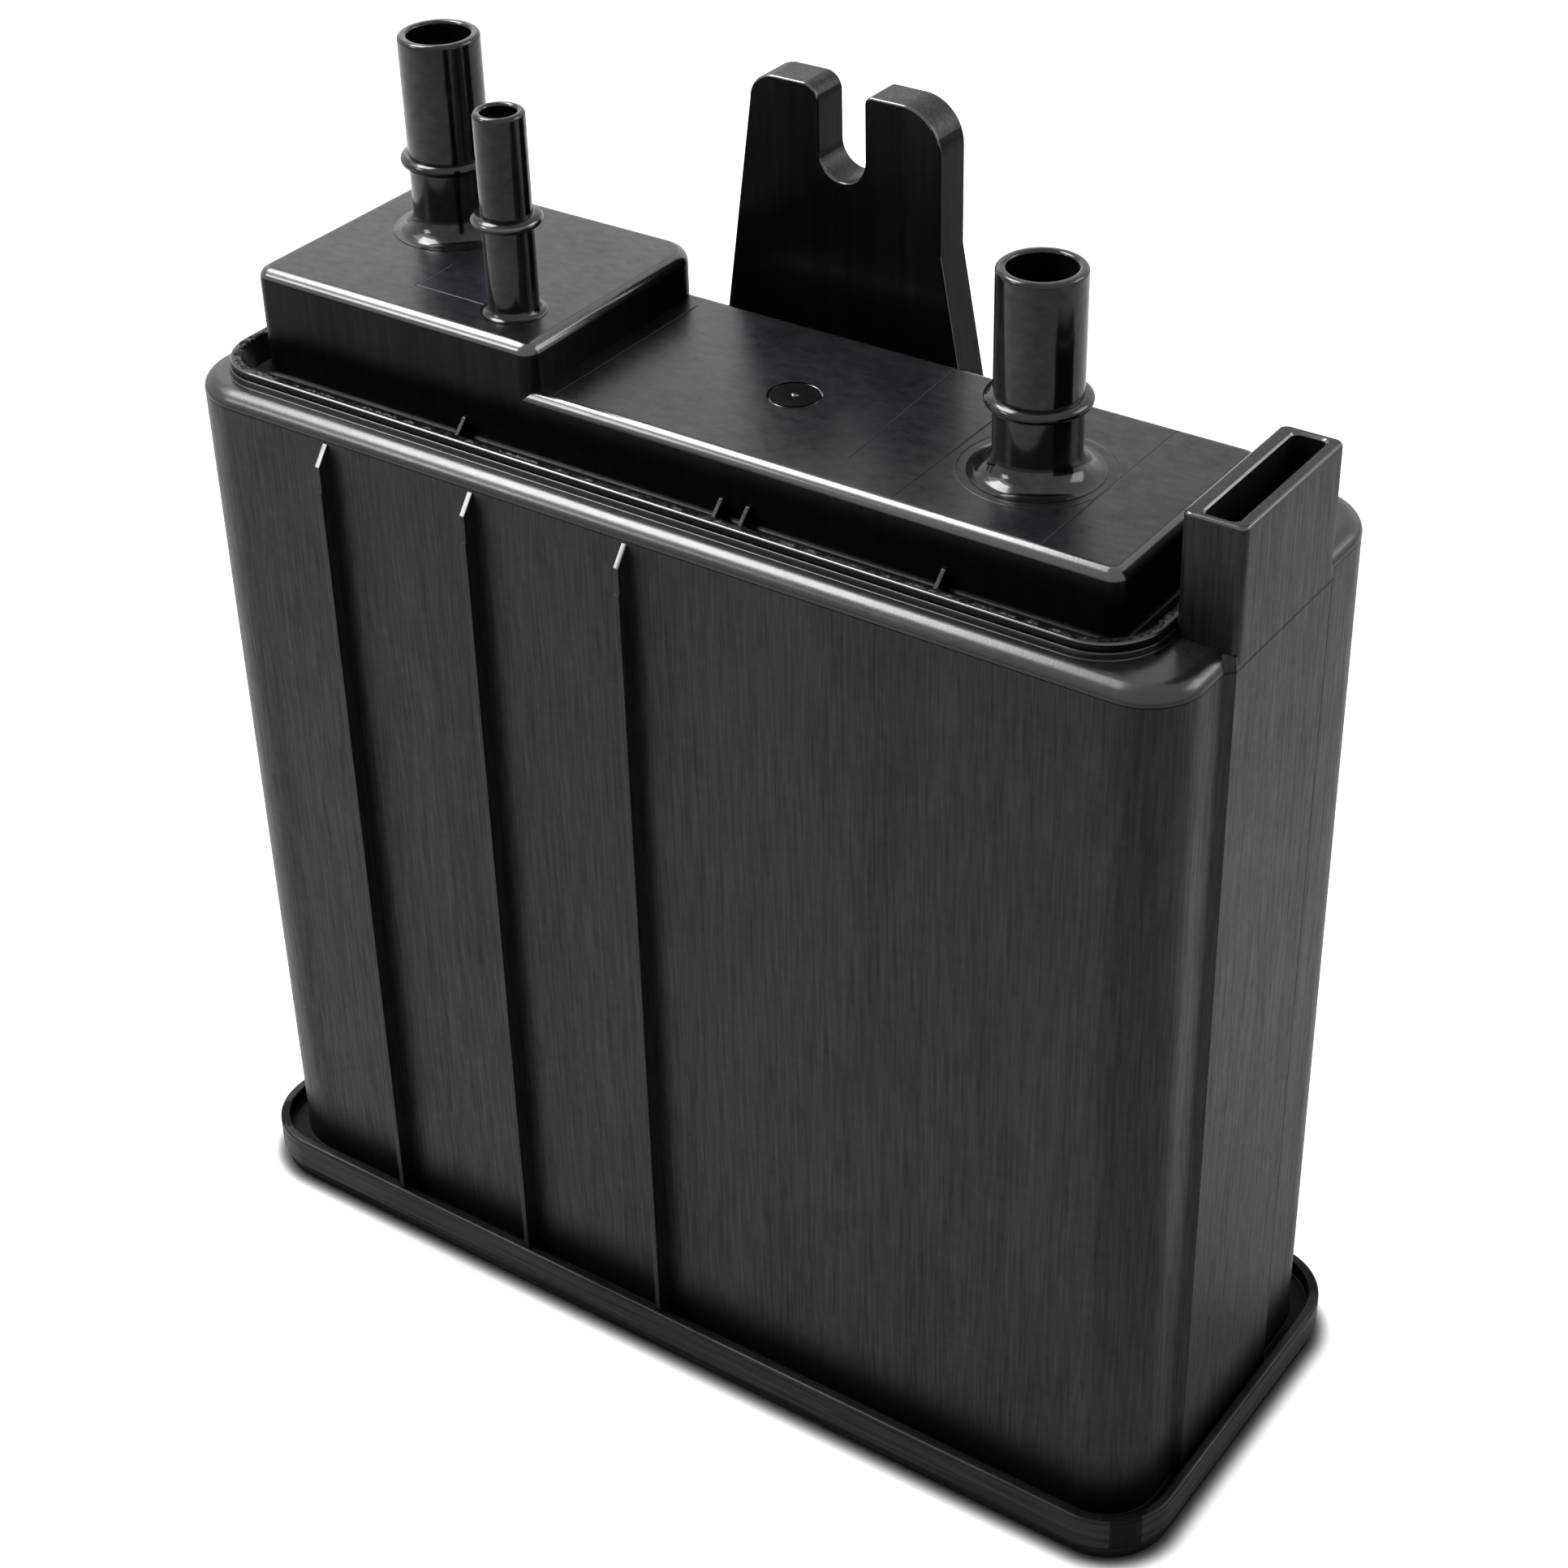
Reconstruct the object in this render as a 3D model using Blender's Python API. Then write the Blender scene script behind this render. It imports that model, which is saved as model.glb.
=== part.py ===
# Charcoal canister for fuel vapour: a two-chamber moulded housing with a
# welded top cover, a welded base, two packed carbon beds and their springs.
# Metres, +Z up. +X runs along the long front wall, -Y is the front.
# The origin is the centre of the underside.

import math

import bmesh
import bpy
from mathutils import Vector

for item in list(bpy.data.objects):
    bpy.data.objects.remove(item, do_unlink=True)

MM = 0.001

# Housing
BODY_LENGTH = 220.0 * MM
BODY_DEPTH = 80.0 * MM
SHOULDER_HEIGHT = 198.9 * MM
BODY_CORNER_RADIUS = 13.8 * MM
BODY_FRONT_RIGHT_RADIUS = 10.8 * MM
BODY_DRAFT = 0.6 * MM
WALL = 2.5 * MM
SHOULDER_FILLET = 3.0 * MM
CORNER_FACETS = 7
FILLET_FACETS = 3
SMALLEST_RADIUS = 0.6 * MM

# Flange at the foot of the housing, with its upstanding lip
FLANGE_OUTSET = 4.7 * MM
FLANGE_CORNER_RADIUS = 14.8 * MM
FLANGE_HEIGHT = 7.4 * MM
FLANGE_FLOOR = 4.3 * MM
LIP_WALL = 2.2 * MM

# Front ribs
RIB_COUNT = 3
RIB_FIRST_INSET = 38.9 * MM
RIB_PITCH = 35.5 * MM
RIB_THICKNESS = 1.2 * MM
RIB_DEPTH = 3.0 * MM
RIB_FOOT_DEPTH = 3.9 * MM
RIB_CHAMFER = 3.2 * MM
RIB_TOP_DROP = 3.8 * MM
RIB_STEP_DROP = 13.5 * MM
RIB_STEP = 0.25 * MM
RIB_CHAMFER_RUN = 0.2

# Bracket socket on the right-hand end, and the panel that it stands on
PANEL_PROUD = 1.5 * MM
PANEL_FRONT_Y = -21.0 * MM
PANEL_REAR_Y = 15.0 * MM
PANEL_SLOPE = 2.2 * MM
SOCKET_RISE = 23.5 * MM
SOCKET_WIDTH = 11.8 * MM
SOCKET_OUTER_WALL = 2.6 * MM
SOCKET_INNER_WALL = 3.1 * MM
SOCKET_END_WALL = 1.6 * MM
SOCKET_DEPTH = 70.0 * MM
SOCKET_FLOOR = 2.5 * MM

# Hanging tab at the back
TAB_FRONT_Y = 36.1 * MM
TAB_THICKNESS = 8.5 * MM
TAB_RISE = 54.3 * MM
TAB_KNEE_RISE = 26.3 * MM
TAB_CENTRE_X = -3.2 * MM
TAB_TOP_WIDTH = 42.6 * MM
TAB_LEFT_FLARE = 7.6 * MM
TAB_RIGHT_FLARE = 5.2 * MM
TAB_LEFT_RADIUS = 5.5 * MM
TAB_RIGHT_RADIUS = 8.5 * MM
SLOT_OFFSET = -0.5 * MM
SLOT_WIDTH = 10.4 * MM
SLOT_DEPTH = 18.0 * MM
SLOT_LEFT_RADIUS = 3.4 * MM
SLOT_RIGHT_RADIUS = 1.6 * MM
TAB_FACE = 3.0 * MM
TAB_RIM = 2.6 * MM
TAB_WEB_SINK = 1.0 * MM
TAB_FOOT_SINK = 0.5 * MM
BUTTRESS_WIDTH = 2.4 * MM
BUTTRESS_PROUD = 3.6 * MM

# Welded joint between housing and cover
COLLAR_INSET = 4.2 * MM
COLLAR_RIGHT_INSET = 10.0 * MM
COLLAR_RADIUS = 12.2 * MM
COLLAR_HEIGHT = 1.5 * MM
COLLAR_WALL = 2.2 * MM
FIT_GAP = 0.3 * MM

# Top cover
RIM_HEIGHT = 1.3 * MM
RIM_WALL = 2.0 * MM
COVER_WALL = 2.3 * MM
MOAT_DEPTH = 4.4 * MM
COVER_LEFT_INSET = 11.3 * MM
COVER_RIGHT_INSET = 17.8 * MM
COVER_FRONT_Y = -26.2 * MM
PLATEAU_REAR_Y = 25.5 * MM
BOX_REAR_Y = 27.7 * MM
PLATEAU_RISE = 11.6 * MM
BOX_RISE = 20.6 * MM
BOX_LENGTH = 68.1 * MM
COVER_CORNER_RADIUS = 3.2 * MM
BOX_REAR_RADIUS = 7.5 * MM
COVER_FILLET = 2.4 * MM
MOAT_FIN_THICKNESS = 0.9 * MM
MOAT_FIN_HEIGHT = 4.8 * MM
MOAT_FIN_INSETS = (51.4 * MM, 110.5 * MM, 116.3 * MM, 157.1 * MM)
DATE_RING_RADIUS = 4.6 * MM
DATE_RING_WIDTH = 0.5 * MM
DATE_RING_SINK = 0.35 * MM
DATE_RING_INSET = 40.8 * MM
DATE_RING_Y = -0.8 * MM

# Hose spigots, each a turned profile. Heights are over the face of the cover.
BEAD_THICKNESS = 2.4 * MM
TIP_ROUND = 0.8 * MM
TANK_SPIGOT_INSET = 21.1 * MM
TANK_SPIGOT_Y = 9.6 * MM
TANK_SPIGOT_RADIUS = 7.95 * MM
TANK_SPIGOT_BORE = 6.1 * MM
TANK_SPIGOT_HEIGHT = 39.3 * MM
TANK_BEAD_HEIGHT = 14.6 * MM
TANK_BEAD_RADIUS = 9.5 * MM
TANK_FOOT_FILLET = 4.2 * MM
PURGE_SPIGOT_INSET = 12.8 * MM
PURGE_SPIGOT_Y = -14.5 * MM
PURGE_SPIGOT_RADIUS = 4.85 * MM
PURGE_SPIGOT_BORE = 3.3 * MM
PURGE_SPIGOT_HEIGHT = 39.0 * MM
PURGE_BEAD_HEIGHT = 18.4 * MM
PURGE_BEAD_RADIUS = 6.7 * MM
PURGE_FOOT_FILLET = 1.5 * MM
VENT_SPIGOT_INSET = 30.3 * MM
VENT_SPIGOT_Y = -1.9 * MM
VENT_SPIGOT_RADIUS = 7.95 * MM
VENT_SPIGOT_BORE = 6.1 * MM
VENT_SPIGOT_HEIGHT = 38.3 * MM
VENT_BEAD_HEIGHT = 14.0 * MM
VENT_BEAD_RADIUS = 9.6 * MM
VENT_FOOT_FILLET = 4.4 * MM
SPIGOT_FACETS = 32

# Base
BASE_THICKNESS = 3.1 * MM
BASE_INSET = 0.9 * MM
BASE_CHAMFER = 0.4 * MM
BASE_RIM_HEIGHT = 4.0 * MM
BASE_RIM_WALL = 1.8 * MM
BASE_RIB_COLUMNS = 6
BASE_RIB_ROWS = 2
BASE_RIB_WIDTH = 1.8 * MM
BASE_RIB_DEPTH = 1.3 * MM
BASE_RIB_MARGIN = 9.0 * MM

# Chambers
PARTITION_THICKNESS = 2.2 * MM
BED_CLEARANCE = 0.4 * MM
BED_CORNER_RADIUS = 1.5 * MM
SPRING_HEIGHT = 15.0 * MM
SPRING_WIRE_RADIUS = 0.9 * MM
SPRING_RADIUS = 11.0 * MM
SPRING_TURNS = 4
SPRING_FACETS_A_TURN = 14
WIRE_FACETS = 6
SPRING_SEAT_FACETS = 24
SPRING_SEAT_WALL = 1.6 * MM
SPRING_SEAT_DEPTH = 3.0 * MM
PLATE_THICKNESS = 2.5 * MM
SCREEN_THICKNESS = 5.0 * MM
GRID_THICKNESS = 2.5 * MM
GRID_LEG_HEIGHT = 6.0 * MM
GRID_LEG_WIDTH = 4.0 * MM
GRID_BAR = 3.0 * MM
GRID_CELL = 16.0 * MM

# Heights that follow from the sizes above
BASE_TOP = BASE_THICKNESS
FLANGE_BOTTOM = BASE_TOP + FIT_GAP
LIP_TOP = FLANGE_BOTTOM + FLANGE_HEIGHT
FLANGE_FLOOR_TOP = FLANGE_BOTTOM + FLANGE_FLOOR
PARTING_HEIGHT = SHOULDER_HEIGHT - SHOULDER_FILLET
CEILING = SHOULDER_HEIGHT - WALL
COLLAR_TOP = SHOULDER_HEIGHT + COLLAR_HEIGHT
TAB_BOTTOM = SHOULDER_HEIGHT - WALL * 0.6
RIM_BOTTOM = COLLAR_TOP + FIT_GAP
RIM_TOP = RIM_BOTTOM + RIM_HEIGHT
MOAT_FLOOR = RIM_TOP - MOAT_DEPTH
COVER_UNDERSIDE = MOAT_FLOOR - COVER_WALL
PLATEAU_TOP = SHOULDER_HEIGHT + PLATEAU_RISE
BOX_TOP = SHOULDER_HEIGHT + BOX_RISE
SOCKET_TOP = SHOULDER_HEIGHT + SOCKET_RISE
TAB_TOP = SHOULDER_HEIGHT + TAB_RISE
TAB_KNEE_HEIGHT = SHOULDER_HEIGHT + TAB_KNEE_RISE

# Plan sizes that follow
BODY_RIGHT = BODY_LENGTH / 2
BODY_FRONT = -BODY_DEPTH / 2
COLLAR_LEFT = -BODY_LENGTH / 2 + COLLAR_INSET
COLLAR_RIGHT = BODY_RIGHT - COLLAR_RIGHT_INSET
COLLAR_FRONT = BODY_FRONT + COLLAR_INSET
COVER_LEFT = -BODY_LENGTH / 2 + COVER_LEFT_INSET
COVER_RIGHT = BODY_RIGHT - COVER_RIGHT_INSET
BOX_RIGHT = COVER_LEFT + BOX_LENGTH
PARTITION_X = BOX_RIGHT
TANK_SPIGOT_X = COVER_LEFT + TANK_SPIGOT_INSET
PURGE_SPIGOT_X = BOX_RIGHT - PURGE_SPIGOT_INSET
VENT_SPIGOT_X = COVER_RIGHT - VENT_SPIGOT_INSET
MOAT_FIN_X = tuple(COVER_LEFT + inset for inset in MOAT_FIN_INSETS)
DATE_RING_X = BOX_RIGHT + DATE_RING_INSET
RIB_FIRST_X = -BODY_LENGTH / 2 + RIB_FIRST_INSET
PANEL_X = BODY_RIGHT + PANEL_PROUD
SOCKET_INNER_X = PANEL_X - SOCKET_WIDTH

BLACK_PLASTIC = (0.018, 0.019, 0.020, 1.0)


def plastic(name, colour, roughness, metallic=0.0):
    material = bpy.data.materials.new(name)
    material.use_nodes = True
    shader = material.node_tree.nodes["Principled BSDF"]
    shader.inputs["Base Color"].default_value = colour
    shader.inputs["Roughness"].default_value = roughness
    shader.inputs["Metallic"].default_value = metallic
    material.diffuse_color = colour
    return material


HOUSING_PLASTIC = plastic("housing_plastic", BLACK_PLASTIC, 0.42)
COVER_PLASTIC = plastic("cover_plastic", (0.012, 0.012, 0.013, 1.0), 0.22)
BASE_PLASTIC = plastic("base_plastic", BLACK_PLASTIC, 0.45)
CARBON = plastic("carbon", (0.010, 0.010, 0.010, 1.0), 0.9)
FOAM = plastic("foam", (0.20, 0.21, 0.22, 1.0), 0.95)
NATURAL_PLASTIC = plastic("natural_plastic", (0.62, 0.60, 0.54, 1.0), 0.5)
SPRING_STEEL = plastic("spring_steel", (0.55, 0.55, 0.56, 1.0), 0.3, 1.0)


# Outlines are lists of (x, y), counter-clockwise seen from above.

def corner_points(centre_x, centre_y, radius, start_degrees, facets):
    points = []
    for step in range(facets + 1):
        angle = math.radians(start_degrees + 90.0 * step / facets)
        points.append((centre_x + radius * math.cos(angle), centre_y + radius * math.sin(angle)))
    return points


def rounded_outline(left, right, front, rear, radii, facets=CORNER_FACETS):
    """Rounded rectangle. radii: front left, front right, rear right, rear left."""
    front_left, front_right, rear_right, rear_left = radii
    points = corner_points(left + front_left, front + front_left, front_left, 180, facets)
    points += corner_points(right - front_right, front + front_right, front_right, 270, facets)
    points += corner_points(right - rear_right, rear - rear_right, rear_right, 0, facets)
    points += corner_points(left + rear_left, rear - rear_left, rear_left, 90, facets)
    return points


def body_outline(outset, facets=CORNER_FACETS):
    """Outline of the housing wall, moved outwards by outset."""
    half_length = BODY_LENGTH / 2 + outset
    half_depth = BODY_DEPTH / 2 + outset
    radius = max(BODY_CORNER_RADIUS + outset, SMALLEST_RADIUS)
    front_right = max(BODY_FRONT_RIGHT_RADIUS + outset, SMALLEST_RADIUS)
    radii = (radius, front_right, radius, radius)
    return rounded_outline(-half_length, half_length, -half_depth, half_depth, radii, facets)


def flange_outline(inset):
    """Outline of the flange at the foot, moved inwards by inset."""
    reach = BODY_DRAFT + FLANGE_OUTSET - inset
    half_length = BODY_LENGTH / 2 + reach
    half_depth = BODY_DEPTH / 2 + reach
    radius = max(FLANGE_CORNER_RADIUS - inset, SMALLEST_RADIUS)
    return rounded_outline(-half_length, half_length, -half_depth, half_depth, (radius,) * 4)


def collar_outline(inset):
    """Outline of the welded joint round the top opening, moved inwards by inset."""
    radius = max(COLLAR_RADIUS - inset, SMALLEST_RADIUS)
    return rounded_outline(
        COLLAR_LEFT + inset,
        COLLAR_RIGHT - inset,
        COLLAR_FRONT + inset,
        -COLLAR_FRONT - inset,
        (radius,) * 4,
    )


def wall_outset(height):
    """Outset of the drafted wall at a height."""
    share = (PARTING_HEIGHT - height) / (PARTING_HEIGHT - FLANGE_BOTTOM)
    return BODY_DRAFT * share


def finish(name, mesh_builder, material):
    """Turn a bmesh into a named object with its own material."""
    bmesh.ops.recalc_face_normals(mesh_builder, faces=mesh_builder.faces)
    mesh = bpy.data.meshes.new(name)
    mesh_builder.to_mesh(mesh)
    mesh_builder.free()
    part = bpy.data.objects.new(name, mesh)
    bpy.context.collection.objects.link(part)
    if material is not None:
        mesh.materials.append(material)
    return part


def loft(name, rings, material=None, closed=False):
    """Skin a stack of (outline, height) rings; capped at the ends or closed in a loop."""
    builder = bmesh.new()
    loops = []
    for outline, height in rings:
        loops.append([builder.verts.new((x, y, height)) for x, y in outline])
    pairs = list(zip(loops, loops[1:]))
    if closed:
        pairs.append((loops[-1], loops[0]))
    count = len(loops[0])
    for lower, upper in pairs:
        for index in range(count):
            after = (index + 1) % count
            builder.faces.new((lower[index], lower[after], upper[after], upper[index]))
    if not closed:
        builder.faces.new(list(reversed(loops[0])))
        builder.faces.new(loops[-1])
    return finish(name, builder, material)


def block(name, left, right, front, rear, bottom, top, material=None):
    builder = bmesh.new()
    bmesh.ops.create_cube(builder, size=1.0)
    for vertex in builder.verts:
        vertex.co.x = left if vertex.co.x < 0 else right
        vertex.co.y = front if vertex.co.y < 0 else rear
        vertex.co.z = bottom if vertex.co.z < 0 else top
    return finish(name, builder, material)


def extruded(name, points, direction, material=None):
    """Prism over a flat outline of 3-D points."""
    builder = bmesh.new()
    face = builder.faces.new([builder.verts.new(point) for point in points])
    result = bmesh.ops.extrude_face_region(builder, geom=[face])
    moved = [element for element in result["geom"] if isinstance(element, bmesh.types.BMVert)]
    bmesh.ops.translate(builder, verts=moved, vec=Vector(direction))
    return finish(name, builder, material)


def turned(name, profile, x, y, material=None, facets=SPIGOT_FACETS):
    """Solid of revolution about a vertical axis; profile is (radius, height) from bottom to top."""
    rings = []
    for radius, height in profile:
        outline = []
        for step in range(facets):
            angle = 2 * math.pi * step / facets
            outline.append((x + radius * math.cos(angle), y + radius * math.sin(angle)))
        rings.append((outline, height))
    return loft(name, rings, material)


def combine(target, tool, operation):
    """Boolean of target with tool, which is used up."""
    modifier = target.modifiers.new(operation.lower(), "BOOLEAN")
    modifier.operation = operation
    modifier.solver = "EXACT"
    modifier.object = tool
    view = bpy.context.evaluated_depsgraph_get()
    mesh = bpy.data.meshes.new_from_object(target.evaluated_get(view))
    target.modifiers.clear()
    old = target.data
    target.data = mesh
    bpy.data.meshes.remove(old)
    bpy.data.objects.remove(tool, do_unlink=True)


def join(target, tool):
    combine(target, tool, "UNION")


def cut(target, tool):
    combine(target, tool, "DIFFERENCE")


def shade(part, degrees=32.0):
    part.data.shade_smooth()
    part.data.set_sharp_from_angle(angle=math.radians(degrees))


# Housing

def housing_shell():
    rings = [
        (flange_outline(0.0), FLANGE_BOTTOM),
        (flange_outline(0.0), LIP_TOP),
        (flange_outline(LIP_WALL), LIP_TOP),
        (flange_outline(LIP_WALL), FLANGE_FLOOR_TOP),
        (body_outline(wall_outset(FLANGE_FLOOR_TOP)), FLANGE_FLOOR_TOP),
    ]
    for step in range(FILLET_FACETS + 1):
        angle = math.radians(90.0 * step / FILLET_FACETS)
        inset = SHOULDER_FILLET * (1 - math.cos(angle))
        height = PARTING_HEIGHT + SHOULDER_FILLET * math.sin(angle)
        rings.append((body_outline(-inset), height))
    rings += [
        (collar_outline(0.0), SHOULDER_HEIGHT),
        (collar_outline(0.0), COLLAR_TOP),
        (collar_outline(COLLAR_WALL), COLLAR_TOP),
        (collar_outline(COLLAR_WALL), CEILING),
        (body_outline(-WALL), CEILING),
        (body_outline(BODY_DRAFT - WALL), FLANGE_BOTTOM),
    ]
    return loft("housing", rings, HOUSING_PLASTIC, closed=True)


def front_rib(x):
    """Rib down the front wall: chamfered top, a small step, and the draft of the wall."""
    root = BODY_FRONT + WALL / 2
    top = PARTING_HEIGHT - RIB_TOP_DROP + RIB_CHAMFER
    chamfer_end = top - RIB_CHAMFER - RIB_CHAMFER * RIB_CHAMFER_RUN
    step_height = PARTING_HEIGHT - RIB_STEP_DROP
    face = BODY_FRONT - RIB_DEPTH
    foot = BODY_FRONT - BODY_DRAFT - RIB_FOOT_DEPTH
    profile = [
        (root, FLANGE_FLOOR_TOP - FLANGE_FLOOR / 2),
        (foot, FLANGE_FLOOR_TOP - FLANGE_FLOOR / 2),
        (face - RIB_STEP, step_height),
        (face, step_height + RIB_STEP),
        (face, chamfer_end),
        (BODY_FRONT, top),
        (root, top),
    ]
    points = [(x - RIB_THICKNESS / 2, y, z) for y, z in profile]
    return extruded("rib", points, (RIB_THICKNESS, 0, 0))


def side_panel():
    """Raised pad on the right-hand wall with one sloping flank; its top is the socket's outer wall."""
    root = BODY_RIGHT - WALL / 2
    flank = PANEL_FRONT_Y - PANEL_SLOPE - WALL / 2
    foot_x = PANEL_X + BODY_DRAFT
    rings = []
    for outer_x, front_y, height in (
        (foot_x, flank, FLANGE_FLOOR_TOP - FLANGE_FLOOR / 2),
        (PANEL_X, flank, PARTING_HEIGHT),
        (PANEL_X, PANEL_FRONT_Y, SHOULDER_HEIGHT),
        (PANEL_X, PANEL_FRONT_Y, SOCKET_TOP),
    ):
        outline = [
            (root, front_y),
            (outer_x, PANEL_FRONT_Y),
            (outer_x, PANEL_REAR_Y),
            (root, PANEL_REAR_Y),
        ]
        rings.append((outline, height))
    return loft("panel", rings)


def socket_walls():
    """The other walls of the bracket socket, from its floor inside the housing to its open top."""
    floor = SOCKET_TOP - SOCKET_DEPTH - SOCKET_FLOOR
    outer = BODY_RIGHT - WALL / 3
    return block("socket", SOCKET_INNER_X, outer, PANEL_FRONT_Y, PANEL_REAR_Y, floor, SOCKET_TOP)


def socket_pocket():
    return block(
        "pocket",
        SOCKET_INNER_X + SOCKET_INNER_WALL,
        PANEL_X - SOCKET_OUTER_WALL,
        PANEL_FRONT_Y + SOCKET_END_WALL,
        PANEL_REAR_Y - SOCKET_END_WALL,
        SOCKET_TOP - SOCKET_DEPTH,
        SOCKET_TOP + WALL,
    )


def arc(centre_x, centre_z, radius, start, end, facets=5):
    points = []
    for step in range(facets + 1):
        angle = math.radians(start + (end - start) * step / facets)
        points.append((centre_x + radius * math.cos(angle), centre_z + radius * math.sin(angle)))
    return points


def tab_profile(inset):
    """Outline of the hanging tab in X and Z, moved inwards by inset."""
    left = TAB_CENTRE_X - TAB_TOP_WIDTH / 2 + inset
    right = TAB_CENTRE_X + TAB_TOP_WIDTH / 2 - inset
    top = TAB_TOP - inset
    bottom = TAB_BOTTOM + inset
    slot_x = TAB_CENTRE_X + SLOT_OFFSET
    slot_radius = SLOT_WIDTH / 2 + inset
    slot_left = slot_x - slot_radius
    slot_right = slot_x + slot_radius
    slot_centre = TAB_TOP - SLOT_DEPTH + SLOT_WIDTH / 2
    radius = [max(size - inset, SMALLEST_RADIUS) for size in (
        TAB_RIGHT_RADIUS, SLOT_RIGHT_RADIUS, SLOT_LEFT_RADIUS, TAB_LEFT_RADIUS)]
    points = [(left - TAB_LEFT_FLARE, bottom), (right + TAB_RIGHT_FLARE, bottom), (right, TAB_KNEE_HEIGHT)]
    points += arc(right - radius[0], top - radius[0], radius[0], 0, 90)
    points += arc(slot_right + radius[1], top - radius[1], radius[1], 90, 180, 3)
    points += arc(slot_x, slot_centre, slot_radius, 0, -180, 10)
    points += arc(slot_left - radius[2], top - radius[2], radius[2], 0, 90, 4)
    points += arc(left + radius[3], top - radius[3], radius[3], 90, 180)
    return points


def tab_plate():
    points = [(x, TAB_FRONT_Y, z) for x, z in tab_profile(0.0)]
    return extruded("tab", points, (0, TAB_THICKNESS, 0))


def tab_core():
    """Relief in the back of the tab, which leaves its face and its rim."""
    points = [(x, TAB_FRONT_Y + TAB_FACE, z) for x, z in tab_profile(TAB_RIM)]
    return extruded("core", points, (0, TAB_THICKNESS, 0))


def tab_web(x):
    """Stiffening web across the relief, below the slot."""
    return block(
        "web",
        x - BUTTRESS_WIDTH / 2,
        x + BUTTRESS_WIDTH / 2,
        TAB_FRONT_Y + TAB_FACE / 2,
        TAB_FRONT_Y + TAB_THICKNESS - TAB_WEB_SINK,
        TAB_BOTTOM + TAB_RIM / 2,
        TAB_TOP - SLOT_DEPTH - TAB_RIM / 2,
    )


def buttress(x):
    """Rib on the rear wall that carries the foot of the tab down to the flange."""
    root = -BODY_FRONT - WALL / 2
    profile = [
        (root, FLANGE_FLOOR_TOP - FLANGE_FLOOR / 2),
        (-BODY_FRONT + BUTTRESS_PROUD + BODY_DRAFT, FLANGE_FLOOR_TOP - FLANGE_FLOOR / 2),
        (-BODY_FRONT + BUTTRESS_PROUD, TAB_BOTTOM + TAB_RIM / 3),
        (root, TAB_BOTTOM + TAB_RIM / 3),
    ]
    points = [(x - BUTTRESS_WIDTH / 2, y, z) for y, z in profile]
    return extruded("buttress", points, (BUTTRESS_WIDTH, 0, 0))


def tab_foot():
    """Gusset under the overhanging foot of the tab, on the rear wall."""
    left = TAB_CENTRE_X - TAB_TOP_WIDTH / 2 - TAB_LEFT_FLARE
    right = TAB_CENTRE_X + TAB_TOP_WIDTH / 2 + TAB_RIGHT_FLARE
    root = -BODY_FRONT - WALL / 2
    edge = TAB_FRONT_Y + TAB_THICKNESS - TAB_FOOT_SINK
    profile = [
        (root, TAB_BOTTOM + TAB_RIM / 2),
        (root, CEILING - TAB_THICKNESS),
        (edge, TAB_BOTTOM - TAB_RIM / 4),
        (edge, TAB_BOTTOM + TAB_RIM / 2),
    ]
    points = [(left + TAB_RIM / 2, y, z) for y, z in profile]
    return extruded("foot", points, (right - left - TAB_RIM, 0, 0))


def partition():
    """Wall between the two chambers, moulded with the housing."""
    half_depth = BODY_DEPTH / 2 - WALL / 2
    return block(
        "partition",
        PARTITION_X - PARTITION_THICKNESS / 2,
        PARTITION_X + PARTITION_THICKNESS / 2,
        -half_depth,
        half_depth,
        BASE_TOP + BASE_RIM_HEIGHT + SPRING_HEIGHT,
        COVER_UNDERSIDE - FIT_GAP,
    )


def build_housing():
    housing = housing_shell()
    join(housing, partition())
    join(housing, side_panel())
    join(housing, socket_walls())
    cut(housing, socket_pocket())
    for index in range(RIB_COUNT):
        join(housing, front_rib(RIB_FIRST_X + index * RIB_PITCH))
    tab = tab_plate()
    cut(tab, tab_core())
    join(tab, tab_web(TAB_CENTRE_X))
    join(tab, tab_foot())
    join(housing, tab)
    for side in (-1, 1):
        join(housing, buttress(TAB_CENTRE_X + side * TAB_TOP_WIDTH / 2))
    shade(housing)
    return housing


# Top cover

def cover_tray():
    """Welded rim, the moat inside it and the skirt that locates in the collar."""
    skirt = COLLAR_WALL + FIT_GAP
    rings = [
        (collar_outline(skirt), COVER_UNDERSIDE),
        (collar_outline(skirt), RIM_BOTTOM),
        (collar_outline(FIT_GAP), RIM_BOTTOM),
        (collar_outline(FIT_GAP), RIM_TOP),
        (collar_outline(FIT_GAP + RIM_WALL), RIM_TOP),
        (collar_outline(skirt + COVER_WALL), MOAT_FLOOR),
    ]
    return loft("top_cover", rings, COVER_PLASTIC)


def filleted_block(name, left, right, rear, radii, bottom, top, inset):
    """Upright block with rounded corners and a filleted top edge; its front is the cover's front."""
    radii = tuple(max(radius - inset, SMALLEST_RADIUS) for radius in radii)
    fillet = max(COVER_FILLET - inset, SMALLEST_RADIUS)
    front = COVER_FRONT_Y + inset
    rings = [(rounded_outline(left, right, front, rear, radii), bottom)]
    for step in range(FILLET_FACETS + 1):
        angle = math.radians(90.0 * step / FILLET_FACETS)
        shrink = fillet * (1 - math.cos(angle))
        corner = tuple(max(radius - shrink, SMALLEST_RADIUS / 3) for radius in radii)
        outline = rounded_outline(left + shrink, right - shrink, front + shrink, rear - shrink, corner)
        rings.append((outline, top - fillet + fillet * math.sin(angle)))
    return loft(name, rings)


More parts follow.
